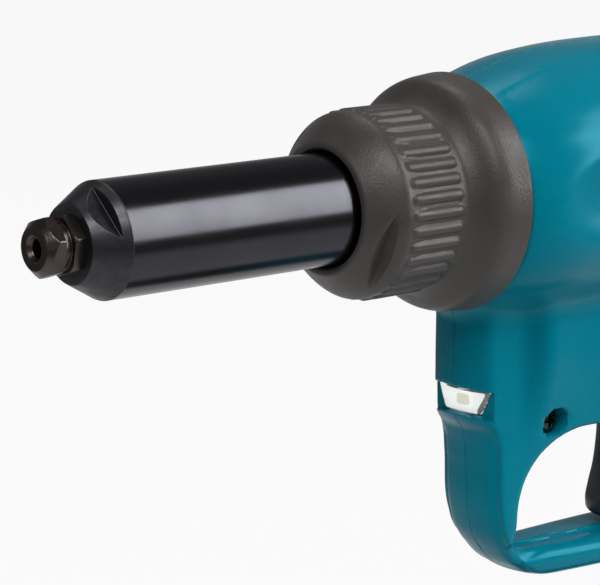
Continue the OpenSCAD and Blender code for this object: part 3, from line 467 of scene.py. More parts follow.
@dataclass(frozen=True)
class Finish:
    """One material: what it is, how its surface was made, and what that gives the eye."""

    name: str
    colour: str
    tone: str
    roughness: float
    pattern: Pattern = Pattern.GRAIN
    pattern_mm: float = 0.6
    relief_mm: float = 0.01
    roughness_spread: float = 0.06
    mottle_mm: float = 18.0
    metallic: float = 0.0
    sockets: tuple[tuple[str, float | tuple[float, ...]], ...] = ()

    def material(self) -> bpy.types.Material:
        """The node material, built once and then shared.

        Returns:
            A material whose colour drifts between two tones, whose roughness follows the same drift, and whose
            relief comes from the pattern at its real size.
        """
        found = bpy.data.materials.get(self.name)
        if found is not None:
            return found
        made = bpy.data.materials.new(self.name)
        made.use_nodes = True
        tree = made.node_tree
        shader = tree.nodes["Principled BSDF"]
        place = add_node(tree, "ShaderNodeTexCoord").outputs["Object"]
        drift = add_node(tree, "ShaderNodeTexNoise", {
            "Vector": place, "Scale": 1 / (self.mottle_mm * MM), "Detail": 4.0, "Roughness": 0.6})
        height = self.relief(tree, place)
        tint = add_node(tree, "ShaderNodeMix", {
            "Factor": drift.outputs["Fac"], "A": linear(self.colour), "B": linear(self.tone)}, data_type="RGBA")
        spread = add_node(tree, "ShaderNodeMapRange", {
            "Value": drift.outputs["Fac"], "From Min": 0.3, "From Max": 0.7,
            "To Min": self.roughness - self.roughness_spread, "To Max": self.roughness + self.roughness_spread})
        bump = add_node(tree, "ShaderNodeBump", {
            "Strength": 1.0, "Distance": self.relief_mm * MM, "Height": height})
        fill(tree, shader, {
            "Base Color": tint.outputs[2], "Roughness": spread.outputs["Result"],
            "Normal": bump.outputs["Normal"], "Metallic": self.metallic, **dict(self.sockets)})
        return made

    def relief(self, tree: bpy.types.NodeTree, place: bpy.types.NodeSocket) -> bpy.types.NodeSocket:
        """Height of the pattern from 0 to 1, at its spacing in millimetres.

        Args:
            tree: The material's nodes.
            place: Object coordinates.

        Returns:
            The output socket that holds the height.
        """
        spacing = self.pattern_mm * MM
        if self.pattern in (Pattern.TURNED, Pattern.STACKED):
            wave = add_node(tree, "ShaderNodeTexWave", {
                "Vector": place, "Scale": 2 * math.pi / (WAVE_RATE * spacing), "Distortion": 0.6, "Detail": 1.0},
                bands_direction="X")
            return wave.outputs["Fac"]
        if self.pattern is Pattern.DRAWN:
            stretched = add_node(tree, "ShaderNodeMapping", {"Vector": place, "Scale": (0.02, 1.0, 1.0)})
            lines = add_node(tree, "ShaderNodeTexNoise", {
                "Vector": stretched.outputs["Vector"], "Scale": 1 / spacing, "Detail": 2.0})
            return lines.outputs["Fac"]
        if self.pattern is Pattern.DIMPLED:
            cells = add_node(tree, "ShaderNodeTexVoronoi", {"Vector": place, "Scale": 1 / spacing})
            return cells.outputs["Distance"]
        grain = add_node(tree, "ShaderNodeTexNoise", {
            "Vector": place, "Scale": 1 / spacing, "Detail": 3.0, "Roughness": 0.55})
        return grain.outputs["Fac"]


# Glass-filled nylon, moulded in an eroded tool: satin teal with a fine even grain.
TEAL_NYLON = Finish("teal_moulded_nylon", "#007287", "#007a8f", 0.26, pattern_mm=0.55, relief_mm=0.016,
                    sockets=(("IOR", 1.5), ("Specular IOR Level", 0.35), ("Specular Tint", linear("#50e6ff"))))
# Thermoplastic elastomer over a stiff core: dull warm grey with a faint speckled sheen.
COLLAR_ELASTOMER = Finish("grey_collar_elastomer", "#36322f", "#403b39", 0.42, pattern_mm=0.6, relief_mm=0.08,
                          roughness_spread=0.08, mottle_mm=6.0, sockets=(("IOR", 1.5), ("Sheen Weight", 0.05)))
# The same elastomer in black, moulded over the handle.
GRIP_ELASTOMER = Finish("black_grip_elastomer", "#1f2022", "#292a2c", 0.62, pattern=Pattern.DIMPLED,
                        pattern_mm=1.1, relief_mm=0.08, sockets=(("IOR", 1.5), ("Sheen Weight", 0.15)))
# Steel, ground and then hot blackened: glossy near-black with soft reflections.
BLACK_STEEL = Finish("blackened_ground_steel", "#47474b", "#3d3d41", 0.2, pattern=Pattern.TURNED,
                     pattern_mm=0.5, relief_mm=0.0012, roughness_spread=0.03, metallic=1.0)
# The same steel, turned and left satin on the cone: duller, with a fine grain.
SATIN_STEEL = Finish("satin_turned_steel", "#4c4c4f", "#3b3b3e", 0.4, pattern_mm=0.45, relief_mm=0.012,
                     roughness_spread=0.1, mottle_mm=2.5, metallic=1.0)
# Hardened steel with a browner oxide skin from heat treatment.
OXIDE_STEEL = Finish("brown_oxide_steel", "#5e5552", "#453e3c", 0.32, pattern=Pattern.TURNED, pattern_mm=0.5,
                     relief_mm=0.006, roughness_spread=0.08, mottle_mm=4.0, metallic=1.0)
# Zinc-plated or ground steel of the drive: bright with fine lines.
BRIGHT_STEEL = Finish("bright_ground_steel", "#b9bbbd", "#a6a8ab", 0.26, pattern=Pattern.TURNED, pattern_mm=0.6,
                      relief_mm=0.004, metallic=1.0)
# Die-cast zinc alloy: grey, slightly rough skin.
CAST_ALLOY = Finish("die_cast_alloy", "#9a9c9d", "#8b8d8e", 0.45, pattern_mm=0.9, relief_mm=0.03, metallic=1.0)
# Silicon steel sheets stacked and lacquered: the edges show as fine lines.
LAMINATED_STEEL = Finish("laminated_motor_steel", "#6c6a66", "#5d5b57", 0.4, pattern=Pattern.STACKED,
                         pattern_mm=1.0, relief_mm=0.04, metallic=1.0)
# Glass-filled black nylon of inner pieces and of the battery.
BLACK_NYLON = Finish("black_moulded_nylon", "#1d1e20", "#26272a", 0.5, pattern_mm=0.6, relief_mm=0.016,
                     sockets=(("IOR", 1.52),))
# Acetal trigger: dark grey with a smoother skin.
TRIGGER_ACETAL = Finish("grey_trigger_acetal", "#2f3033", "#383a3d", 0.38, pattern_mm=0.5, relief_mm=0.008,
                        sockets=(("IOR", 1.48),))
# Solder-masked glass epoxy in white, with a painted glow that lifts the work light's lens out of the recess's shade.
GLOWING_WHITE_BOARD = Finish("white_board_painted_glow", "#f4f3ee", "#ecebe4", 0.35, pattern_mm=0.8, relief_mm=0.01,
                     sockets=(("Emission Strength", 0.8),))
# Solder-masked glass epoxy in green.
GREEN_BOARD = Finish("green_circuit_board", "#1f5a3c", "#1a4d34", 0.35, pattern_mm=1.2, relief_mm=0.02)
# Phosphor over the light emitting chips: pale yellow, with a painted glow that brightens the lens.
GLOWING_PHOSPHOR = Finish("yellow_phosphor_painted_glow", "#f5ecbe", "#f0e4a8", 0.5, pattern_mm=0.3, relief_mm=0.004,
                  sockets=(("Emission Strength", 0.5),))
# Clear polycarbonate, polished.
CLEAR_LENS = Finish("clear_polycarbonate", "#f4f6f5", "#eef2f1", 0.06, pattern_mm=3.0, relief_mm=0.006,
                    roughness_spread=0.02, sockets=(("IOR", 1.585), ("Transmission Weight", 0.92)))
# Smoked polycarbonate of the mandrel container.
SMOKED_LENS = Finish("smoked_polycarbonate", "#3a3d40", "#303336", 0.12, pattern_mm=3.0, relief_mm=0.006,
                     roughness_spread=0.03, sockets=(("IOR", 1.585), ("Transmission Weight", 0.45)))
# Rolled brass of the battery's blades and their block.
TERMINAL_BRASS = Finish("terminal_brass", "#b8934a", "#a8843e", 0.3, pattern=Pattern.DRAWN, pattern_mm=0.4,
                        relief_mm=0.004, metallic=1.0)
# Printed shrink film round the cells.
CELL_FILM = Finish("blue_cell_film", "#2f5f8c", "#28527a", 0.35, pattern_mm=2.0, relief_mm=0.01)
# Painted studio floor, even and matt.
STUDIO_PAINT = Finish("pale_studio_paint", "#c8c8c6", "#c4c4c2", 0.9, pattern_mm=8.0, relief_mm=0.05,
                      mottle_mm=900.0, roughness_spread=0.02)


# Sub-assemblies


@dataclass
class Barrel:
    """The blackened nose tube, its flatted cone, and the hexagon nosepiece in it."""

    tube_r: float = 14.0
    bore_r: float = 11.0
    ridge_x: float = -110.7
    cone_x: float = -118.7
    cone_end_r: float = 9.4
    cone_land: float = 0.3
    # Small bevels of the cone's front and of its ridge, and how far its straight side stops short of them
    cone_bevel: Pair = (0.08, 0.2)
    ridge_bevel: Pair = (0.12, 0.06)
    side_margins: Pair = (0.3, 0.2)
    shank_r: float = 5.05
    flange_r: float = 17.0
    flange_x: float = -6.0
    flat_half: float = 10.2
    flat_end_x: float = -112.6
    flat_fillet: float = 0.3
    flat_turn: float = math.radians(48)
    tip_x: float = -128.3
    lead_len: float = 2.4
    hex_turn: float = math.radians(18)
    hex_half: float = 6.5
    hex_edge: float = 0.1
    lead_r: float = 5.1
    mouth_r: float = 3.1
    nose_bore_r: float = 2.1
    groove_x: Pair = (-123.21, -121.48)
    groove_r: float = 5.6
    groove_slopes: Pair = (0.9, 0.5)
    nose_end_x: float = -111.75
    mouth_len: float = 1.2
    segments: int = 360
    tube_segments: int = 192
    cone_rings: int = 100

    def build(self, place: Placement) -> None:
        """Makes the tube, the cone and the nosepiece on the housing's body."""
        place.piece("barrel_tube", self.tube(), BLACK_STEEL, "housing", "black_steel", ["nose_tube"], sharp=24)
        place.piece("barrel_cone", self.cone(), SATIN_STEEL, "housing", "black_steel", sharp=24)
        place.piece("barrel_nosepiece", self.nosepiece(), OXIDE_STEEL, "housing", "black_steel", ["nosepiece"],
                    sharp=24)

    def tube(self) -> Surface:
        """Turned tube with the flange that the collar holds."""
        front = self.ridge_x + self.cone_land
        corners = [(front, self.bore_r, 0.0), (front, self.tube_r, 0.0), (self.flange_x, self.tube_r, 0.3),
                   (self.flange_x, self.flange_r, 0.4), (0.0, self.flange_r, 0.4), (0.0, self.bore_r, 0.3)]
        return revolve(rounded_path(corners), self.tube_segments)

    def cone(self) -> Surface:
        """Turned cone; two flats cut it where r exceeds their half distance over cos of the angle.

        A small fillet, f - sqrt(f^2 - d^2) over the last d of each flat, runs up into its shoulder.
        """
        rear = self.ridge_x + self.cone_land
        slope = (self.tube_r - self.cone_end_r) / (self.ridge_x - self.cone_x)
        x = np.linspace(self.cone_x + self.side_margins[0], self.ridge_x - self.side_margins[1], self.cone_rings)
        side = np.stack([x, self.cone_end_r + (x - self.cone_x) * slope], axis=1)
        front = ((self.cone_x, self.shank_r), (self.cone_x, self.cone_end_r - self.cone_bevel[1]),
                 (self.cone_x + self.cone_bevel[0], self.cone_end_r))
        back = ((self.ridge_x, self.tube_r - self.ridge_bevel[1]), (self.ridge_x + self.ridge_bevel[0], self.tube_r),
                (rear, self.tube_r), (rear, self.shank_r))
        profile = np.concatenate([np.array(front), side, np.array(back)])

        def flats(x: Array, angle: Array, radius: Array) -> Array:
            """Radius held within the two flats ahead of their shoulder."""
            into = np.clip(x - self.flat_end_x + self.flat_fillet, 0.0, self.flat_fillet)
            half = self.flat_half + self.flat_fillet - np.sqrt(self.flat_fillet ** 2 - into ** 2)
            outside = (x < self.flat_end_x) & (radius > self.shank_r + 1)
            return np.where(outside, np.minimum(radius, flats_field(angle, half, self.flat_turn)), radius)

        return revolve(profile, self.segments, flats)

    def nosepiece(self) -> Surface:
        """Hexagon bar turned to a profile: the radius is the lesser of the profile and half / cos(angle)."""
        front, rear = self.groove_x
        fall, rise = self.groove_slopes
        point_r = self.hex_half * 2 / math.sqrt(3) - self.hex_edge
        corners = [(self.nose_end_x, self.nose_bore_r, 0.2), (self.tip_x + self.mouth_len, self.nose_bore_r, 0.2),
                   (self.tip_x, self.mouth_r, 0.25), (self.tip_x, self.lead_r, 0.3),
                   (self.tip_x + self.lead_len, point_r, 0.2), (front - fall, point_r, 0.2),
                   (front, self.groove_r, 0.3), (rear, self.groove_r, 0.3), (rear, point_r - rise, 0.1),
                   (rear + rise, point_r, 0.2), (self.cone_x, point_r, 0.2), (self.cone_x, self.shank_r, 0.1),
                   (self.nose_end_x, self.shank_r - 0.05, 0.2)]

        def hexagon(x: Array, angle: Array, radius: Array) -> Array:
            """Radius held within the six flats."""
            turn = np.mod(angle - self.hex_turn, math.pi / 3) - math.pi / 6
            return np.minimum(radius, self.hex_half / np.cos(turn))

        return revolve(refined(rounded_path(corners), 0.25), self.segments, hexagon)


@dataclass
class LockCollar:
    """The elastomer-covered collar that locks the nose tube: ribbed drum, flare and spanner flats."""

    mouth_x: float = -43.4
    mouth_r: float = 14.7
    drum_r: float = 23.1
    rib_start_x: float = -34.2
    rib_len: float = 17.6
    rib_r: float = 1.6
    rib_sink: float = 0.6
    rib_count: int = 36
    flare_x: float = -16.25
    flange_r: float = 30.8
    rear_x: float = -0.4
    bore_r: float = 20.3
    bore_x: float = -7.3
    flat_half: float = 18.8
    flat_turn: float = math.radians(-27.7)
    flat_end_x: float = -37.8
    segments: int = 540
    ring_step: float = 0.8
    nose_len: float = 10.0
    bell_share: float = 0.62
    # Shares of the nose's length and of its rise, and of the flare's length and of its rise
    nose_table: Table = ((0.0, 0.21), (0.2, 0.46), (0.4, 0.69), (0.56, 0.85), (0.7, 0.97), (0.83, 1.05), (1.0, 1.05),
                         (1.4, 1.0))
    bell_table: Table = ((0.0, 0.0), (0.15, 0.06), (0.36, 0.3), (0.54, 0.62), (0.68, 0.8), (0.84, 0.88), (1.0, 0.93))

    def build(self, place: Placement) -> None:
        """Makes the collar on its own body."""
        place.piece("collar_sleeve", self.sleeve(), COLLAR_ELASTOMER, "collar", "collar_rubber", ["lock_collar"],
                    sharp=38)

    def sleeve(self) -> Surface:
        """Turned collar; where a rib, a round bar of height sqrt(R^2 - d^2) - sink on the drum, is higher, it shows."""
        rise, flare, run = self.drum_r - self.mouth_r, self.flange_r - self.drum_r, -self.flare_x * self.bell_share
        nose = [(self.mouth_x + share * self.nose_len, self.mouth_r + up * rise) for share, up in self.nose_table]
        bell = [(self.flare_x + share * run, self.drum_r + up * flare) for share, up in self.bell_table]
        corners = [(self.mouth_x + 0.6, self.mouth_r, 0.2), (self.mouth_x, self.mouth_r + 0.5, 0.3),
                   (self.mouth_x, nose[0][1], 0.6), *((x, r, 1.6) for x, r in nose[1:]),
                   *((x, r, 2.6) for x, r in bell), (self.rear_x, self.flange_r, 0.5),
                   (self.rear_x, self.bore_r, 0.2), (self.bore_x, self.bore_r, 0.2),
                   (self.rib_start_x, self.mouth_r, 0.2)]
        profile = refined(rounded_path(corners), self.ring_step)
        end_x = self.rib_start_x + self.rib_len

        def ribs(x: Array, angle: Array, radius: Array) -> Array:
            """Radius with the ribs, held within the two spanner flats on the nose."""
            pitch = 2 * math.pi / self.rib_count
            across = (np.mod(angle + pitch / 2, pitch) - pitch / 2) * self.drum_r
            past = np.maximum(np.maximum(self.rib_start_x + self.rib_r - x, x - end_x + self.rib_r), 0.0)
            bar = np.sqrt(np.maximum(self.rib_r ** 2 - across ** 2 - past ** 2, 0.0)) - self.rib_sink
            outside = radius > self.drum_r - 3.0
            ribbed = np.where(outside, np.maximum(radius, np.minimum(self.drum_r, radius) + bar), radius)
            flatted = (x < self.flat_end_x) & (radius > self.mouth_r + 0.2)
            limit = flats_field(angle, self.flat_half, self.flat_turn)
            return np.where(flatted, np.minimum(ribbed, limit), ribbed)

        return revolve(profile, self.segments, ribs)


@dataclass
class Housing:
    """The two moulded halves with their screws, and the grip let into the handle."""

    head_len: float = 132.0
    wall: float = 2.8
    part_gap: float = 0.03
    # Roundings of the head's rim and tail
    rim_round: float = 1.2
    tail_round: float = 2.4
    # Raised band along the top: its height, and the ramps of its edges
    band_step: float = 0.3
    band_y: Pair = (13.0, 13.5)
    band_z: Pair = (15.0, 20.0)
    band_x: Pair = (2.0, 6.0)
    # Scoop in the head's side: its middle along and across, its half sizes and its rounding
    scoop_mid: Pair = (61.0, 38.0)
    scoop_half: Triple = (58.0, 6.0, 16.0)
    scoop_round: float = 2.0
    # Lower body: how far its spine's bow runs on, its tail's shares of the half width, its roundings, and the ramps
    # that bound the crease beside its spine
    bulge_x: float = 55.4
    bow_limit: float = 3.0
    tail_shares: Pair = (0.9, 0.5)
    edge_round: float = 1.8
    side_round: float = 6.0
    rear_round: float = 5.0
    body_top: float = -8.0
    body_top_round: float = 2.0
    guard_bottom: float = -109.0
    crease_depth: float = 0.8
    crease_share: float = 0.85
    crease_top: Pair = (63.5, 68.0)
    crease_foot: Pair = (104.0, 109.0)
    crease_rear: Pair = (22.0, 32.0)
    # Swelling over the motor
    motor_z: float = -40.0
    motor_r: float = 18.7
    motor_stretch: float = 0.6
    motor_x: Pair = (17.8, 58.0)
    motor_round: float = 5.0
    motor_blend: float = 4.0
    # Finger opening: its front arc, and its bar, whose edge is rounded more below a ramp
    arc_x: float = 37.4
    arc_z: float = -86.0
    arc_r: float = 21.3
    arc_round: float = 2.0
    bar_round: float = 4.0
    bar_ramp: Pair = (88.0, 98.0)
    bar_z: float = -97.5
    bar_fall: float = 3.0 / 88.0
    bar_blend: float = 3.0
    # Channel in the bar: its ends, its middle, half width and depth, and the height that its cut clears
    channel_x: Pair = (24.0, 66.0)
    channel_y: float = 3.4
    channel_r: float = 2.2
    channel_depth: float = 0.7
    channel_clear: float = 3.0
    # Handle, which runs on beyond its ends into the body and the foot
    handle_x: float = 88.0
    handle_z: Pair = (-60.0, -168.0)
    handle_past: Pair = (6.0, 3.0)
    handle_lean: float = math.radians(8)
    handle_square: float = 2.4
    foot_mid: float = 98.0
    foot_z: Pair = (-163.0, -188.0)
    foot_square: float = 5.0
    foot_round: float = 1.5
    # Blends of the body into the head, and of the handle and the foot into both
    blends: Triple = (5.0, 7.0, 6.0)
    # Work light: half width, top, foot and floor of the notch and of the lens's pocket in it
    notch: tuple[float, ...] = (14.0, -51.5, -58.9, 6.7)
    pocket: tuple[float, ...] = (9.4, -52.4, -58.8, 9.0)
    notch_bend_y: float = 10.5
    notch_bends: Pair = (0.7, 1.3)
    pocket_taper: float = 0.53
    light_wall: float = 2.4
    # Grip: its front, its ends along the handle, the roundings of its patch, its depth and how proud it is
    grip_front: float = -8.0
    grip_ends: Pair = (-22.0, -98.0)
    grip_rounds: Pair = (1.0, 6.0)
    grip_depth: float = 1.2
    grip_proud: float = 0.5
    # Height that the grip's cut clears, and the grip's gaps round it and under it
    grip_clear: float = 2.0
    grip_gaps: Pair = (0.15, 0.05)
    # Pitch, slope and depth of the grip's ribs, and the ramp over which they fade at its edge
    grip_ribs: Triple = (5.2, 0.14, 0.45)
    grip_fade: Pair = (1.5, 5.0)
    grip_box: tuple[Pair, ...] = ((72.0, 128.0), (-20.0, 20.0), (-164.0, -78.0))
    grip_step: float = 0.8
    # Station, half width, top, drop and squareness of the head's section
    head_table: Table = (
        (0.0, 29.4, 27.2, 29.4, 2.0), (4.0, 31.7, 28.5, 30.6, 2.02), (10.0, 34.0, 30.2, 31.7, 2.06),
        (14.5, 35.0, 31.5, 32.3, 2.08), (23.5, 35.8, 33.6, 33.0, 2.1), (34.3, 36.0, 35.0, 33.5, 2.12),
        (58.1, 36.0, 35.9, 34.0, 2.3), (100.3, 35.1, 34.1, 33.2, 2.4), (122.8, 31.5, 30.5, 29.6, 2.3),
        (132.0, 28.8, 28.2, 27.9, 2.1))
    # Depth, front and bow of the spine, half width of the spine and of the body, and rear of its section
    body_table: Table = (
        (10.0, 2.3, 2.9, 10.5, 24.0, 113.5), (32.7, 2.3, 2.9, 10.5, 23.5, 113.5),
        (45.8, 2.2, 2.9, 10.5, 23.3, 113.5), (57.0, 2.5, 2.8, 10.5, 22.4, 110.5),
        (59.5, 2.8, 2.7, 10.5, 22.2, 109.6), (61.2, 3.9, 2.4, 10.6, 22.0, 109.0),
        (63.4, 5.8, 1.9, 10.8, 21.8, 108.0), (66.0, 6.5, 1.7, 10.9, 21.3, 106.0),
        (72.0, 7.1, 1.6, 10.9, 20.2, 103.0), (87.2, 8.3, 1.6, 10.8, 16.9, 95.0), (93.0, 10.0, 1.8, 10.4, 15.9, 91.0),
        (97.0, 12.6, 2.0, 10.0, 15.2, 88.5), (103.0, 19.0, 2.2, 9.2, 14.0, 87.0),
        (106.8, 27.7, 2.2, 7.8, 12.4, 86.0), (109.0, 40.8, 2.2, 5.5, 8.9, 84.5))
    # Share of the way down the handle, half depth and half width
    handle_table: Table = (
        (0.0, 22.1, 18.1), (0.2, 20.5, 17.2), (0.45, 19.1, 16.5), (0.75, 19.5, 16.9), (0.92, 21.5, 18.2),
        (1.0, 24.6, 19.8))
    # Share of the way down the foot, half length and half width
    foot_table: Table = (
        (0.0, 23.9, 19.8), (0.28, 44.7, 32.4), (0.5, 50.4, 35.5), (0.75, 51.6, 35.9), (1.0, 52.0, 36.0))
    # Places of the screws, the depth of their seats and the radius of their wells
    screws: Table = (
        (25.08, -62.04, 10.8, 3.85), (100.98, -52.64, 7.92, 3.85), (46.2, 24.06, 7.92, 3.85),
        (118.0, 18.05, 7.92, 3.85), (118.0, -19.74, 7.92, 3.85), (82.5, -109.98, 7.92, 3.85),
        (58.08, -174.46, 7.92, 3.3), (139.92, -174.46, 7.92, 3.3))
    post_r: float = 5.2
    # Screw: radius, height and fall of its dome, its side down to the shank's end, and its cross
    screw_dome: Triple = (2.55, 2.4, 0.055)
    screw_rings: int = 22
    screw_segments: int = 72
    screw_side: Table = ((2.8, 1.85), (2.98, 1.6), (3.08, 1.25), (3.1, 0.9), (3.1, 0.0), (1.45, 0.0), (1.45, -13.0),
                         (0.0, -13.0))
    cross_reach: float = 1.75
    cross_half: float = 0.42
    cross_edge: float = 0.12
    cross_depth: float = 1.2
    # Heights between which the foot is solid, and radius and end of the front and the rear bore
    solid_z: Pair = (-158.0, -188.0)
    front_bore: Pair = (20.3, 4.0)
    rear_bore: Pair = (24.7, 125.7)
    # Corners of the pockets for the trigger, the battery's tongue, the release hook and the terminals
    pockets: tuple[tuple[Triple, Triple], ...] = (
        ((56.6, -9.0, -98.8), (78.5, 8.4, -66.6)), ((40.0, -30.0, -195.0), (136.4, 25.4, -179.6)),
        ((40.0, -9.0, -195.0), (61.0, 8.4, -181.0)), ((89.7, -20.0, -190.0), (130.3, 17.3, -174.6)))
    # Runs of start, end and step of the lattice, finer at the rim, the light and the parting plane
    runs_x: tuple[Triple, ...] = ((-0.7, 1.4, 0.7), (1.4, 9.8, 0.42), (9.8, 51.8, 0.9333), (51.8, 152.3, 1.7946))
    first_y: tuple[float, ...] = (-0.15, 0.1, 0.3, 0.6, 1.0, 1.5, 2.1)
    runs_y: tuple[Triple, ...] = ((2.8, 8.4, 0.7), (8.4, 12.4, 0.4), (12.4, 38.0, 1.024))
    runs_z: tuple[Triple, ...] = ((-188.7, -160.2, 0.95), (-160.2, -112.2, 1.5), (-112.2, -64.2, 1.0),
                                  (-64.2, -50.2, 0.4), (-50.2, 36.8, 0.9457))

    def build(self, place: Placement) -> None:
        """Makes both halves, the screws and the grip on the housing's body."""
        axes = (lattice(*self.runs_x), np.concatenate([np.array(self.first_y), lattice(*self.runs_y)]),
                lattice(*self.runs_z))
        left = surface_net(lambda x, y, z: self.half(x, y, z, True), axes)
        right = surface_net(lambda x, y, z: self.half(x, y, z, False), axes)
        place.piece("shell_left", left.mirrored(), TEAL_NYLON, "housing", "teal_shell", ["housing_left"])
        place.piece("shell_right", right, TEAL_NYLON, "housing", "teal_shell", ["housing_right"])
        place.piece("shell_screws", self.screw_set(), BLACK_STEEL, "housing", "black_steel", ["housing_screws"],
                    sharp=40)
        place.piece("handle_grip", self.grip(), GRIP_ELASTOMER, "housing", "grip_rubber", ["grip"])

    def head(self, x: Array, y: Array, z: Array) -> Array:
        """Superellipse barrel, (y/w)^n + (z/h)^n = 1 at each station, with side scoops and a raised top band."""
        width, top, drop, square = along(self.head_table, x)
        form = oval_field(y, z - (top - drop) / 2, width, (top + drop) / 2, square)
        form = form + self.band_step * smooth_step(np.abs(y), *self.band_y) * smooth_step(z, *self.band_z) * \
            smooth_step(x, *self.band_x)
        length, depth, height = self.scoop_half
        reach = (np.abs(x - self.scoop_mid[0]) / length) ** 4 + ((np.abs(y) - self.scoop_mid[1]) / depth) ** 2 + \
            (z / height) ** 2
        form = smooth_max(form, (1 - np.sqrt(reach)) * depth, self.scoop_round)
        form = smooth_max(form, -x, self.rim_round)
        return smooth_max(form, x - self.head_len, self.tail_round)

    def body(self, x: Array, y: Array, z: Array) -> Array:
        """Lower body: at each depth a plan of a bowed spine, a straight flank, a side and a tail, rounded together.

        The flank swells softly over the motor, a lying oval cylinder with a round front. Below the work light a
        crease, a bell curve across the spine's edge, sets the spine off.
        """
        front, bow, spine, half, rear = along(self.body_table, -z)
        across = np.abs(y)
        nose = front + bow * np.minimum((across / spine) ** 2, self.bow_limit) - x
        flank = line_side(x, across, (front + bow, spine), (self.bulge_x, half))
        run, end = self.tail_shares
        tail = line_side(x, across, (rear - run * half, half), (rear, end * half))
        form = smooth_max(smooth_max(nose, flank, self.edge_round), across - half, self.side_round)
        form = smooth_max(smooth_max(form, tail, self.rear_round), x - rear, self.rear_round)
        oval = np.hypot(y, self.motor_stretch * (z - self.motor_z)) - self.motor_r
        motor = smooth_max(oval, self.motor_x[0] - x, self.motor_round)
        form = smooth_min(form, np.maximum(motor, x - self.motor_x[1]), self.motor_blend)
        below = smooth_step(-z, *self.crease_top) * (1 - smooth_step(-z, *self.crease_foot)) * \
            (1 - smooth_step(x, *self.crease_rear))
        form = form + self.crease_depth * below * np.exp(-(across - self.crease_share * spine) ** 2)
        form = smooth_max(form, self.guard_bottom - z, self.rear_round)
        return smooth_max(form, z - self.body_top, self.body_top_round)

    def opening(self, x: Array, z: Array) -> Array:
        """Finger opening seen from the side: a lying capsule of the front arc, cut by the sloping bar."""
        arc = np.where(x < self.arc_x, np.hypot(x - self.arc_x, z - self.arc_z), np.abs(z - self.arc_z)) - self.arc_r
        return smooth_max(arc, self.bar_z - self.bar_fall * x - z, self.bar_blend)

    def handle(self, x: Array, y: Array, z: Array) -> Array:
        """Leaning handle: a superellipse plan whose middle moves back with depth."""
        top, bottom = self.handle_z
        depth, width = along(self.handle_table, (top - z) / (top - bottom))
        middle = self.handle_x + (top - z) * math.tan(self.handle_lean)
        form = oval_field(x - middle, y, depth, width, self.handle_square)
        return largest(form, z - top - self.handle_past[0], bottom - z - self.handle_past[1])

    def foot(self, x: Array, y: Array, z: Array) -> Array:
        """Foot over the battery: squarish superellipse plans that widen downwards."""
        top, bottom = self.foot_z
        length, width = along(self.foot_table, (top - z) / (top - bottom))
        form = oval_field(x - self.foot_mid, y, length, width, self.foot_square)
        return smooth_max(np.maximum(form, z - top), bottom - z, self.foot_round)

    def outer(self, x: Array, y: Array, z: Array) -> Array:
        """Outside of the closed housing: head, guarded body, handle and foot run into each other."""
        edge = self.arc_round + self.bar_round * smooth_step(-z, *self.bar_ramp)
        body = smooth_max(self.body(x, y, z), -self.opening(x, z), edge)
        form = self.head(x, y, z)
        for part, blend in zip((body, self.handle(x, y, z), self.foot(x, y, z)), self.blends):
            form = smooth_min(form, part, blend)
        return form

    def light_recess(self, x: Array, y: Array, z: Array, grow: float) -> Array:
        """Recess of the work light: a notch right across the strut, and in its floor the lens's own pocket."""
        half, top, foot, floor = self.notch
        bend = (y / self.notch_bend_y) ** 2
        notch = largest(np.abs(y) - half, z - top + self.notch_bends[0] * bend - grow,
                        foot - self.notch_bends[1] * bend - grow - z, x - floor - grow)
        half, top, foot, floor = self.pocket
        pocket = largest(np.abs(y) - half - grow - self.pocket_taper * (z - top), z - top - grow, foot - grow - z,
                         x - floor - grow)
        return np.minimum(notch, pocket)

    def bar_channel(self, x: Array, y: Array, z: Array) -> Array:
        """Shallow channel along the top of the guard's bar, with a round front end."""
        level = z - self.bar_z + self.bar_fall * x
        front, rear = self.channel_x
        plan = np.hypot(np.maximum(front - x, 0.0), y - self.channel_y) - self.channel_r
        return largest(plan, -self.channel_depth - level, level - self.channel_clear, x - rear)

    def grip_zone(self, x: Array, z: Array) -> Array:
        """Patch of the handle that the grip covers, measured along and across the leaning middle line."""
        c, s = math.cos(self.handle_lean), math.sin(self.handle_lean)
        level, away = z - self.handle_z[0], x - self.handle_x
        across, down = away * c + level * s, -away * s + level * c
        ends = smooth_max(down - self.grip_ends[0], self.grip_ends[1] - down, self.grip_rounds[0])
        return smooth_max(self.grip_front - across, ends, self.grip_rounds[1])

    def half(self, x: Array, y: Array, z: Array, wells: bool) -> Array:
        """One half of the housing beside y = 0: a wall, solid seats, and the cuts for what it carries.

        Args:
            x: Places along the barrel.
            y: Distances from the parting plane.
            z: Heights.
            wells: Whether this half has the screws' heads and the channel in its bar.

        Returns:
            The field of the half, negative in the material.
        """
        outer, handle, away = self.outer(x, y, z), self.handle(x, y, z), np.hypot(y, z)
        shell = np.maximum(outer, -(outer + self.wall))
        solid = np.minimum(self.light_recess(x, y, z, self.light_wall),
                           np.maximum(z - self.solid_z[0], self.solid_z[1] - z))
        for px, pz, *_ in self.screws:
            solid = np.minimum(solid, np.hypot(x - px, z - pz) - self.post_r)
        shell = np.minimum(shell, np.maximum(outer, solid))
        cuts = [self.light_recess(x, y, z, 0.0), np.maximum(away - self.front_bore[0], x - self.front_bore[1]),
                np.maximum(away - self.rear_bore[0], self.rear_bore[1] - x),
                *(box_field(x, y, z, *corners) for corners in self.pockets)]
        if wells:
            cuts += [self.bar_channel(x, y, z)]
            cuts += [np.maximum(np.hypot(x - px, z - pz) - well, seat - y) for px, pz, seat, well in self.screws]
        skin = np.maximum(self.grip_zone(x, z), handle - self.grip_clear)
        cuts += [np.maximum(skin, -(handle + self.grip_depth))]
        return np.maximum(less(shell, cuts), self.part_gap - y)

    def grip(self) -> Surface:
        """Grip: the handle's form, proud by half a millimetre and sunk into it, with soft ribs across."""
        pitch, slope, rib = self.grip_ribs
        gap, under = self.grip_gaps

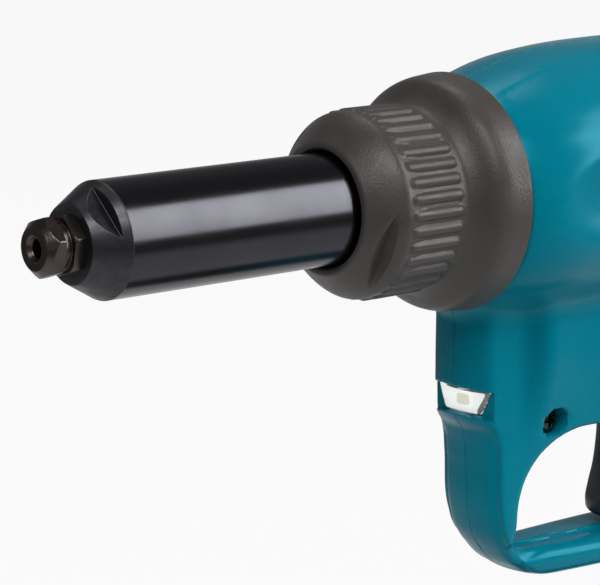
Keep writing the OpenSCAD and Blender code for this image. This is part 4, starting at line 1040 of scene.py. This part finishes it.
        def form(x: Array, y: Array, z: Array) -> Array:
            """Field of the grip, negative in the rubber."""
            handle, zone = self.handle(x, y, z), self.grip_zone(x, z)
            wave = 0.5 + 0.5 * np.cos(2 * math.pi * (z - slope * x) / pitch)
            ribbed = handle - self.grip_proud + rib * wave ** 3 * smooth_step(-zone, *self.grip_fade)
            outer = smooth_max(ribbed, zone + gap, self.grip_depth)
            return np.maximum(outer, -(handle + self.grip_depth - under))

        return surface_net(form, [lattice((low, high, self.grip_step)) for low, high in self.grip_box])

    def screw_set(self) -> Surface:
        """Pan head screws: a domed disc z(r) with a cross sunk into it, on a plain shank."""
        rim, crown, fall = self.screw_dome
        dome = np.linspace(0.0, rim, self.screw_rings)
        rows = np.concatenate([np.stack([dome, crown - fall * dome ** 2], axis=1), np.array(self.screw_side)])
        angle = angles(self.screw_segments)
        across, up = rows[:, :1] * np.cos(angle), rows[:, :1] * np.sin(angle)
        arm = np.minimum(np.maximum(np.abs(across) - self.cross_reach, np.abs(up) - self.cross_half),
                         np.maximum(np.abs(up) - self.cross_reach, np.abs(across) - self.cross_half))
        top = (np.arange(len(rows)) < len(dome))[:, None]
        sunk = np.where(top, (1 - smooth_step(arm, -self.cross_edge, self.cross_edge)) * self.cross_depth, 0.0)
        screw = grid_surface(np.stack([across, sunk - rows[:, 1:], up], axis=-1))
        return joined([screw.moved(px, -seat, pz) for px, pz, seat, _ in self.screws])


@dataclass
class WorkLight:
    """The clear lens in the strut and the light chip behind it."""

    front_x: float = 4.2
    bow: float = 2.0
    depth: float = 2.4
    middle_z: float = -55.6
    half_h: float = 3.2
    top_half: float = 9.7
    foot_half: float = 6.3
    bevel: float = 0.7
    back_gap: float = 0.02
    least_depth: float = 0.2
    # Shares of the outline in the rings of the back, the rim and the bevel, and from there to the middle
    rim_shares: tuple[float, ...] = (0.4, 0.97, 1.0, 1.0, 0.9)
    face_shares: tuple[float, float, int] = (0.87, 0.06, 12)
    chip_half: Pair = (2.2, 1.5)
    chip_rise: float = 0.26
    chip_gap: float = 0.29

    def build(self, place: Placement) -> None:
        """Makes the lens and the chip on the housing's body."""
        place.piece("light_lens_clear", self.lens(), CLEAR_LENS, "housing", "clear_lens", ["light_lens"], sharp=30)
        # The chip's finish glows as painted light, not as a lamp.
        place.piece("light_chip", self.chip(), GLOWING_PHOSPHOR, "housing", "board")

    def lens(self) -> Surface:
        """Bevelled trapezoid whose front bows back with y squared; rings shrink from its rim to the middle."""
        outline = refined(rounded_path([(-self.top_half, self.half_h, 0.9), (-self.foot_half, -self.half_h, 1.2),
                                        (self.foot_half, -self.half_h, 1.2), (self.top_half, self.half_h, 0.9)]), 0.5)
        shares = np.concatenate([self.rim_shares, np.linspace(*self.face_shares)])[:, None]
        y, z = outline[:, 0] * shares, outline[:, 1] * shares
        back = self.front_x + self.depth - self.back_gap
        front = self.front_x + self.bow * (y / self.top_half) ** 2 + self.bevel * (shares > 0.95)
        x = np.where(np.arange(len(shares))[:, None] < 3, back, np.minimum(front, back - self.least_depth))
        return loft(np.stack([x, y, z + self.middle_z], axis=-1))

    def chip(self) -> Surface:
        """Low dome of phosphor on the board: rings of radius r at the height of a flattened sphere."""
        share = np.linspace(0.0, math.pi / 2, 10)[:, None]
        angle = angles(40)[None, :]
        square = (np.abs(np.cos(angle)) ** 4 + np.abs(np.sin(angle)) ** 4) ** -0.25
        y = self.chip_half[0] * np.cos(share) * np.cos(angle) * square
        z = self.chip_half[1] * np.cos(share) * np.sin(angle) * square
        x = self.front_x + self.depth + self.chip_gap - self.chip_rise * np.sin(share) + 0 * angle
        return loft(np.stack([x, y, z + self.middle_z], axis=-1))


@dataclass
class Trigger:
    """The sliding trigger with its stem."""

    back_x: float = 71.3
    stem_end_x: float = 84.5
    stem_z: float = -82.0
    stem_r: float = 3.0
    stem_root: float = 3.0
    stem_bevel: float = 0.4
    stem_segments: int = 48
    least_back: float = 1.5
    half_w: float = 8.0
    top_z: float = -67.05
    bottom_z: float = -98.35
    back_squareness: float = 5.0
    segments: int = 96
    # Heights over which the foot and the top draw in, and the shares of the plan there and between
    foot_draw: float = 3.0
    top_draw: float = 2.0
    draw_shares: Pair = (0.78, 0.22)
    # Height and front of the face
    face_table: Table = (
        (-98.4, 59.7), (-96.6, 57.6), (-93.5, 56.65), (-89.0, 57.6), (-84.0, 59.2), (-77.5, 60.3), (-67.0, 60.9))

    def build(self, place: Placement) -> None:
        """Makes the trigger on its sliding body."""
        place.piece("trigger_blade", joined([self.blade(), self.stem()]), TRIGGER_ACETAL, "trigger",
                    "trigger_plastic", ["trigger"], sharp=40)

    def blade(self) -> Surface:
        """Stack of plans, round at the face and squarish behind, drawn in at the top and the foot.

        The front half is the ellipse x = c + a cos t, y = w sin t about a middle c that follows the face; the rear
        half is the superellipse x = c + b |cos t|^(2/n), y = w |sin t|^(2/n).
        """
        foot, head = self.bottom_z + self.foot_draw, self.top_z - self.top_draw
        z = np.concatenate([np.linspace(self.bottom_z, foot, 9)[:-1], np.linspace(foot, head, 36)[:-1],
                            np.linspace(head, self.top_z, 7)])[:, None]
        face = along(self.face_table, z)[0]
        low = np.clip((z - self.bottom_z) / self.foot_draw, 0.0, 1.0)
        high = np.clip((self.top_z - z) / self.top_draw, 0.0, 1.0)
        least, more = self.draw_shares
        draw = least + more * np.sqrt(1 - (1 - low) ** 2) * np.sqrt(1 - (1 - high) ** 2)
        middle = np.minimum(face + self.half_w, self.back_x - self.least_back)
        round_x, round_y = superellipse(middle - face, self.half_w, 2.0, self.segments)
        square_x, square_y = superellipse(self.back_x - middle, self.half_w, self.back_squareness, self.segments)
        x = np.where(round_x < 0, round_x, square_x)
        y = np.where(round_x < 0, round_y, square_y)
        return loft(np.stack([middle + x * draw, y * draw, z + 0 * x], axis=-1))

    def stem(self) -> Surface:
        """Round rod along the barrel's direction from the trigger into the switch."""
        start, end, edge = self.back_x - self.stem_root, self.stem_end_x, self.stem_bevel
        profile = np.array(((start, 0.0), (start, self.stem_r), (end - edge, self.stem_r), (end, self.stem_r - edge),
                            (end, 0.0)))
        return revolve(profile, self.stem_segments, closed=False).moved(z=self.stem_z)


@dataclass
class Battery:
    """The sliding battery: upper case with its tongue, lower case and release button."""

    front_x: float = 36.0
    length: float = 116.0
    width: float = 75.0
    top_z: float = -188.4
    split_z: float = -214.0
    base_z: float = -248.0
    rounding: float = 9.0
    top_round: float = 3.0
    outline_round: float = 12.0
    wall: float = 8.2
    # Tongue, groove round the split (depth and width), and heights of the hollow
    tongue: tuple[Triple, Triple] = ((54.0, -25.0, -190.0), (136.0, 25.0, -180.0))
    split_groove: Pair = (0.6, 0.7)
    hollow_z: Pair = (-190.6, -220.0)
    # Corners of a rail's groove, of a blade's slot about its middle, and, from the front, of the button's bays
    rail: tuple[Triple, Triple] = ((50.0, 22.0, -185.6), (160.0, 28.0, -183.6))
    blade: tuple[Triple, Triple] = ((89.6, 4.2, -185.4), (160.0, 5.8, -170.0))
    blade_y: float = 5.0
    bays: tuple[tuple[Triple, Triple], ...] = (
        ((-6.0, -14.4, -209.9), (6.4, 14.4, -180.0)), ((0.0, -8.4, -193.4), (22.4, 8.4, -170.0)))
    upper_runs: tuple[Triple, ...] = ((35.24, 152.8, 0.98), (-38.2, 38.2, 0.9), (-215.0, -179.2, 0.7))
    # Lower case: height and inset of its rings from the base up, at each groove, and down from the split
    base_rows: Table = ((0.0, 3.0), (0.9, 1.2), (2.4, 0.3), (4.0, 0.0))
    groove_z: Triple = (-241.5, -236.5, -231.5)
    groove_rows: Table = ((0.0, 0.0), (0.5, 0.5), (1.9, 0.5), (2.4, 0.0))
    rim_rows: Table = ((2.0, 0.0), (0.8, 0.2), (0.1, 0.7), (0.1, 8.2))
    floor: float = 2.2
    # Release button: foot and height, half sizes, and depth, pitch and middle of its finger ribs
    button_z: Pair = (-206.4, 16.8)
    button_half: Pair = (2.9, 13.9)
    button_ribs: Triple = (0.35, 2.6, -198.0)
    button_span: Pair = (0.15, 0.8)
    button_x: float = 3.0
    # Its hook: corners from the battery's front with their roundings, and places across
    hook: Table = ((4.0, -190.3, 0.2), (18.9, -190.3, 0.2), (18.9, -184.9, 0.6), (15.1, -184.9, 0.3),
                   (15.1, -188.1, 0.2), (4.0, -188.1, 0.2))
    hook_y: tuple[float, ...] = (-7.95, -7.9, 7.9, 7.95)

    def build(self, place: Placement) -> None:
        """Makes both cases on the battery's body and the button on its own."""
        place.piece("battery_case_top", self.upper(), BLACK_NYLON, "battery", "black_plastic", ["battery_upper_case"])
        place.piece("battery_case_base", self.lower(), BLACK_NYLON, "battery", "black_plastic", ["battery_lower_case"])
        place.piece("battery_button", self.button(), TRIGGER_ACETAL, "release", "trigger_plastic", ["release_button"])

    def plan(self, x: Array, y: Array, inset: float) -> Array:
        """Distance to the rounded rectangle of the case, set in by a margin."""
        qx = np.abs(x - self.front_x - self.length / 2) - (self.length / 2 - self.rounding)
        qy = np.abs(y) - (self.width / 2 - self.rounding)
        corner = np.hypot(np.maximum(qx, 0.0), np.maximum(qy, 0.0))
        return corner + np.minimum(np.maximum(qx, qy), 0.0) - self.rounding + inset

    def upper(self) -> Surface:
        """Upper case: rounded block with a tongue, less the hollow, the rail grooves, blade slots and button bay."""

        def form(x: Array, y: Array, z: Array) -> Array:
            """Field of the upper case, negative in the plastic."""
            case = smooth_max(self.plan(x, y, 0.0), z - self.top_z, self.top_round)
            depth, width = self.split_groove
            case = np.maximum(case, self.split_z - z) + depth * np.exp(-((z - self.split_z) / width) ** 2)
            hollow = np.maximum(z - self.hollow_z[0], self.hollow_z[1] - z)
            return less(np.minimum(case, box_field(x, y, z, *self.tongue)), [
                np.maximum(self.plan(x, y, self.wall), hollow), box_field(x, np.abs(y), z, *self.rail),
                *(box_field(x - self.front_x, y, z, *corners) for corners in self.bays),
                box_field(x, np.abs(np.abs(y) - self.blade_y), z, *self.blade)])

        return surface_net(form, [lattice(run) for run in self.upper_runs])

    def lower(self) -> Surface:
        """Lower case: rings of the rounded plan up the outside, over the rim, and down the inside."""
        half = np.array((self.length / 2, self.width / 2))
        signs = ((-1, -1), (1, -1), (1, 1), (-1, 1))
        corners = [(sx * half[0], sy * half[1], self.outline_round) for sx, sy in signs]
        outline = refined(rounded_path(corners, 12), 3.0)
        rows = np.array([*((self.base_z + up, inset) for up, inset in self.base_rows),
                         *((z + up, inset) for z in self.groove_z for up, inset in self.groove_rows),
                         *((self.split_z - down, inset) for down, inset in self.rim_rows),
                         (self.base_z + self.floor, self.wall)])
        scale = (half - rows[:, 1:2]) / half
        rings = outline[None] * scale[:, None, :]
        points = np.concatenate([rings, np.broadcast_to(rows[:, None, :1], (*rings.shape[:2], 1))], axis=-1)
        return loft(points + np.array((self.front_x + half[0], 0.0, 0.0)))

    def button(self) -> Surface:
        """Release button: a rounded pad with finger ribs across its face, and the hook that it draws down."""
        rows = np.linspace(0.0, 1.0, 40)[:, None]
        z = self.button_z[0] + self.button_z[1] * rows
        draw = 0.9 + 0.1 * np.sqrt(1 - (2 * rows - 1) ** 8)
        x, y = superellipse(self.button_half[0] * draw, self.button_half[1] * draw, 5.0, 72)
        depth, pitch, middle = self.button_ribs
        ribbed = (rows > self.button_span[0]) & (rows < self.button_span[1])
        ribs = depth * np.maximum(np.cos(2 * math.pi * (z - middle) / pitch), 0.0) * ribbed
        x = np.where(x < 0, x + depth - ribs, x)
        pad = loft(np.stack([self.front_x + self.button_x + x, y, z + 0 * x], axis=-1))
        hook = refined(rounded_path(self.hook), 1.0)[None]
        wide = np.array(self.hook_y)[:, None]
        arm = np.broadcast_arrays(self.front_x + hook[..., 0], wide, hook[..., 1])
        return joined([pad, loft(np.stack(arm, axis=-1))])


@dataclass
class MandrelContainer:
    """The smoked pot that catches spent mandrels, with finger flutes round it."""

    front_x: float = 132.3
    length: float = 58.0
    radius: float = 27.0
    bore_r: float = 24.7
    flutes: int = 24
    flute_depth: float = 0.7
    # Ramps of the flutes' ends, from the front and from the rear
    flute_start: Pair = (11.0, 16.0)
    flute_stop: Pair = (-12.0, -7.0)
    base_r: float = 22.6
    base_wall: float = 2.2
    shoulder: float = 4.4
    # Groove behind the rim: distance from the front and depth at its corners
    groove: Table = ((7.0, 0.0), (7.4, 0.6), (8.6, 0.6), (9.0, 0.0))
    segments: int = 288

    def build(self, place: Placement) -> None:
        """Makes the pot on its sliding body."""
        place.piece("container_pot", self.pot(), SMOKED_LENS, "container", "smoke_plastic", ["mandrel_container"])

    def pot(self) -> Surface:
        """Turned pot whose outside dips by a raised cosine at each flute."""
        end = self.front_x + self.length
        inner = end - self.base_wall
        corners = [(self.front_x, self.bore_r, 0.2), (self.front_x, self.radius, 0.6),
                   *((self.front_x + run, self.radius - deep, 0.4) for run, deep in self.groove),
                   (end - self.shoulder, self.radius, 3.0), (end, self.base_r, 2.0), (end, 0.0, 0.0),
                   (inner, 0.0, 0.0), (inner, self.base_r, 0.5), (end - self.shoulder, self.bore_r, 0.5)]
        profile = refined(rounded_path(corners), 1.2)

        def fluted(x: Array, angle: Array, radius: Array) -> Array:
            """Radius less the flutes on the middle of the outside."""
            dip = 0.5 + 0.5 * np.cos(self.flutes * angle)
            window = smooth_step(x - self.front_x, *self.flute_start) * (1 - smooth_step(x - end, *self.flute_stop))
            return radius - np.where(radius > self.bore_r + 1, self.flute_depth * dip ** 4 * window, 0.0)

        return revolve(profile, self.segments, fluted)


@dataclass
class InnerWorks:
    """CAD nodes that keep their own meshes, with the finish of each."""

    dress: dict[str, tuple[Finish, tuple[str, ...]]] = field(default_factory=lambda: {
        "steel": (BRIGHT_STEEL, (
            "jaw_case", "jaws", "jaw_pusher", "jaw_spring", "pull_spindle", "mandrel_tube", "ball_nut", "nut_gear",
            "nut_bearings", "carrier", "pinion_bearings", "planet_gear_1", "planet_gear_2", "planet_gear_3",
            "ring_gear", "rotor_shaft", "motor_bearings")),
        "castings": (CAST_ALLOY, ("front_frame", "gear_case")),
        "laminations": (LAMINATED_STEEL, ("stator", "rotor_core")),
        "mouldings": (BLACK_NYLON, ("fan", "switch_body", "container_socket")),
        # The lamp board's finish carries a painted glow, not a lamp.
        "lamp board": (GLOWING_WHITE_BOARD, ("light_board",)),
        "controller": (GREEN_BOARD, ("controller",)),
        "blades": (TERMINAL_BRASS, ("terminal_block",)),
        "cells": (CELL_FILM, ("battery_cells",))})

    def build(self) -> None:
        """Puts each finish on its nodes' own meshes."""
        for group, (finish, names) in self.dress.items():
            for name in names:
                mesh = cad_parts[name].data
                mesh.materials.clear()
                mesh.materials.append(finish.material())
            LOG.info("%s: %d nodes in %s", group, len(names), finish.name)


@dataclass
class Studio:
    """Pale floor, soft lights and the camera at the photograph's angle."""

    camera_mm: Triple = (-446.45, -470.68, 103.68)
    right: Triple = (0.76482, -0.64423, 0.0)
    up: Triple = (0.12689, 0.15065, 0.98041)
    back: Triple = (-0.63161, -0.74984, 0.19697)
    lens_mm: float = 153.4
    sensor_mm: float = 36.0
    floor_radius: float = 9.0
    floor_gap: float = 0.0004
    floor_lift: float = 0.93
    # Metres from the tool over which the floor's glow in metal falls, and its strength at both ends
    glow_reach: Pair = (0.45, 0.75)
    glow_light: Pair = (0.75, 0.1)
    # Strength of the room's light at the horizon and overhead, and the rise over which it fades
    room_light: Pair = (0.45, 0.15)
    room_rise: float = 0.35
    room_colour: str = "#f2f4f6"
    # Name, target in tool millimetres, direction, distance, sides and watts of each lamp
    lamps: tuple[tuple[str, Triple, Triple, float, Pair, float], ...] = (
        ("key_softbox", (0, 0, 0), (0.63, -0.66, 0.42), 1.7, (0.75, 1.5), 22.0),
        ("fill_softbox", (0, 0, -60), (-0.45, -0.5, 0.73), 1.7, (1.0, 0.8), 15.5),
        ("top_softbox", (30, 0, 0), (0.15, 0.35, 0.92), 1.8, (0.8, 0.8), 5.0))

    def build(self, place: Placement) -> None:
        """Sets up the world, the floor, the lamps and the camera."""
        scene = bpy.context.scene
        scene.view_settings.view_transform = "Standard"
        self.world(scene)
        self.floor()
        for name, target, *rest in self.lamps:
            self.lamp(name, place.point(*target), *rest)
        self.camera(scene, place)

    def world(self, scene: bpy.types.Scene) -> None:
        """Dim room whose light fades from pale at the horizon to grey overhead."""
        room = bpy.data.worlds.new("studio_room")
        room.use_nodes = True
        tree = room.node_tree
        direction = add_node(tree, "ShaderNodeTexCoord").outputs["Generated"]
        height = add_node(tree, "ShaderNodeSeparateXYZ", {"Vector": direction}).outputs["Z"]
        ramp = add_node(tree, "ShaderNodeMapRange", {
            "Value": height, "From Min": 0.0, "From Max": self.room_rise, "To Min": self.room_light[0],
            "To Max": self.room_light[1]})
        fill(tree, tree.nodes["Background"], {
            "Strength": ramp.outputs["Result"], "Color": linear(self.room_colour)})
        scene.world = room

    def floor(self) -> None:
        """Round floor as rings of a disc, just under the battery's base."""
        radius = np.concatenate([(0.0,), np.geomspace(0.2, self.floor_radius, 12)])[:, None]
        angle = angles(64)[None, :]
        low = CAD_BOX[0][2] - self.floor_gap
        points = np.stack([radius * np.cos(angle), radius * np.sin(angle), low + 0 * radius * angle], axis=-1)
        surface = grid_surface(points)
        mesh = bpy.data.meshes.new("studio_floor")
        mesh.from_pydata(surface.points.tolist(), [], surface.quads.tolist())
        mesh.validate()
        mesh.materials.append(self.lifted(STUDIO_PAINT.material()))
        floor = bpy.data.objects.new("studio_floor", mesh)
        bpy.context.scene.collection.objects.link(floor)

    def lifted(self, paint: bpy.types.Material) -> bpy.types.Material:
        """Lifts the floor towards white where it is seen straight, in glass or, near the tool, in metal.

        Args:
            paint: The floor's paint, which keeps its part of the shadow.

        Returns:
            The same material, with the lift mixed in.
        """
        tree = paint.node_tree
        ray = add_node(tree, "ShaderNodeLightPath").outputs
        place = add_node(tree, "ShaderNodeTexCoord").outputs["Object"]
        away = add_node(tree, "ShaderNodeVectorMath", {0: place}, operation="LENGTH").outputs["Value"]
        near = add_node(tree, "ShaderNodeMapRange", {
            "Value": away, "From Min": self.glow_reach[0], "From Max": self.glow_reach[1],
            "To Min": self.glow_light[0], "To Max": self.glow_light[1]}).outputs["Result"]

        def combined(operation: str, *values: Any) -> bpy.types.NodeSocket:
            """Result of a maths node that takes the values in order."""
            return add_node(tree, "ShaderNodeMath", dict(enumerate(values)), operation=operation).outputs[0]

        seen = combined("MAXIMUM", ray["Is Camera Ray"], ray["Is Transmission Ray"])
        shine = combined("MULTIPLY_ADD", ray["Is Glossy Ray"], near, seen)
        part = combined("MULTIPLY", combined("MAXIMUM", seen, ray["Is Glossy Ray"]), self.floor_lift)
        glow = add_node(tree, "ShaderNodeEmission", {"Strength": shine}).outputs[0]
        mixed = add_node(tree, "ShaderNodeMixShader", {0: part, 1: tree.nodes["Principled BSDF"].outputs[0], 2: glow})
        fill(tree, tree.nodes["Material Output"], {"Surface": mixed.outputs[0]})
        return paint

    def lamp(self, name: str, target: Vector, direction: Sequence[float], distance: float, size: Sequence[float],
             power: float) -> None:
        """Hangs a soft rectangular lamp.

        Args:
            name: Name of the lamp.
            target: Point that it faces.
            direction: From the target to the lamp.
            distance: Metres between them.
            size: Width and height in metres.
            power: Watts.
        """
        data = bpy.data.lights.new(name, "AREA")
        data.shape, data.size, data.size_y, data.energy = "RECTANGLE", size[0], size[1], power
        lamp = bpy.data.objects.new(name, data)
        aim = Vector(direction).normalized()
        lamp.location = target + aim * distance
        lamp.rotation_euler = aim.to_track_quat("Z", "Y").to_euler()
        bpy.context.scene.collection.objects.link(lamp)

    def camera(self, scene: bpy.types.Scene, place: Placement) -> None:
        """Stands the camera where the photograph was taken."""
        data = bpy.data.cameras.new("photo_camera")
        data.sensor_fit, data.sensor_width, data.lens = "HORIZONTAL", self.sensor_mm, self.lens_mm
        camera = bpy.data.objects.new("photo_camera", data)
        turn = Matrix((self.right, self.up, self.back)).transposed().to_4x4()
        camera.matrix_world = Matrix.Translation(place.point(*self.camera_mm)) @ turn
        scene.collection.objects.link(camera)
        scene.camera = camera


def main() -> None:
    """Builds the studio and every sub-assembly."""
    logging.basicConfig(level=logging.INFO)
    place = Placement()
    Studio().build(place)
    for part in (Barrel(), LockCollar(), Housing(), WorkLight(), Trigger(), Battery(), MandrelContainer()):
        part.build(place)
    InnerWorks().build()


if __name__ == "__main__":
    main()
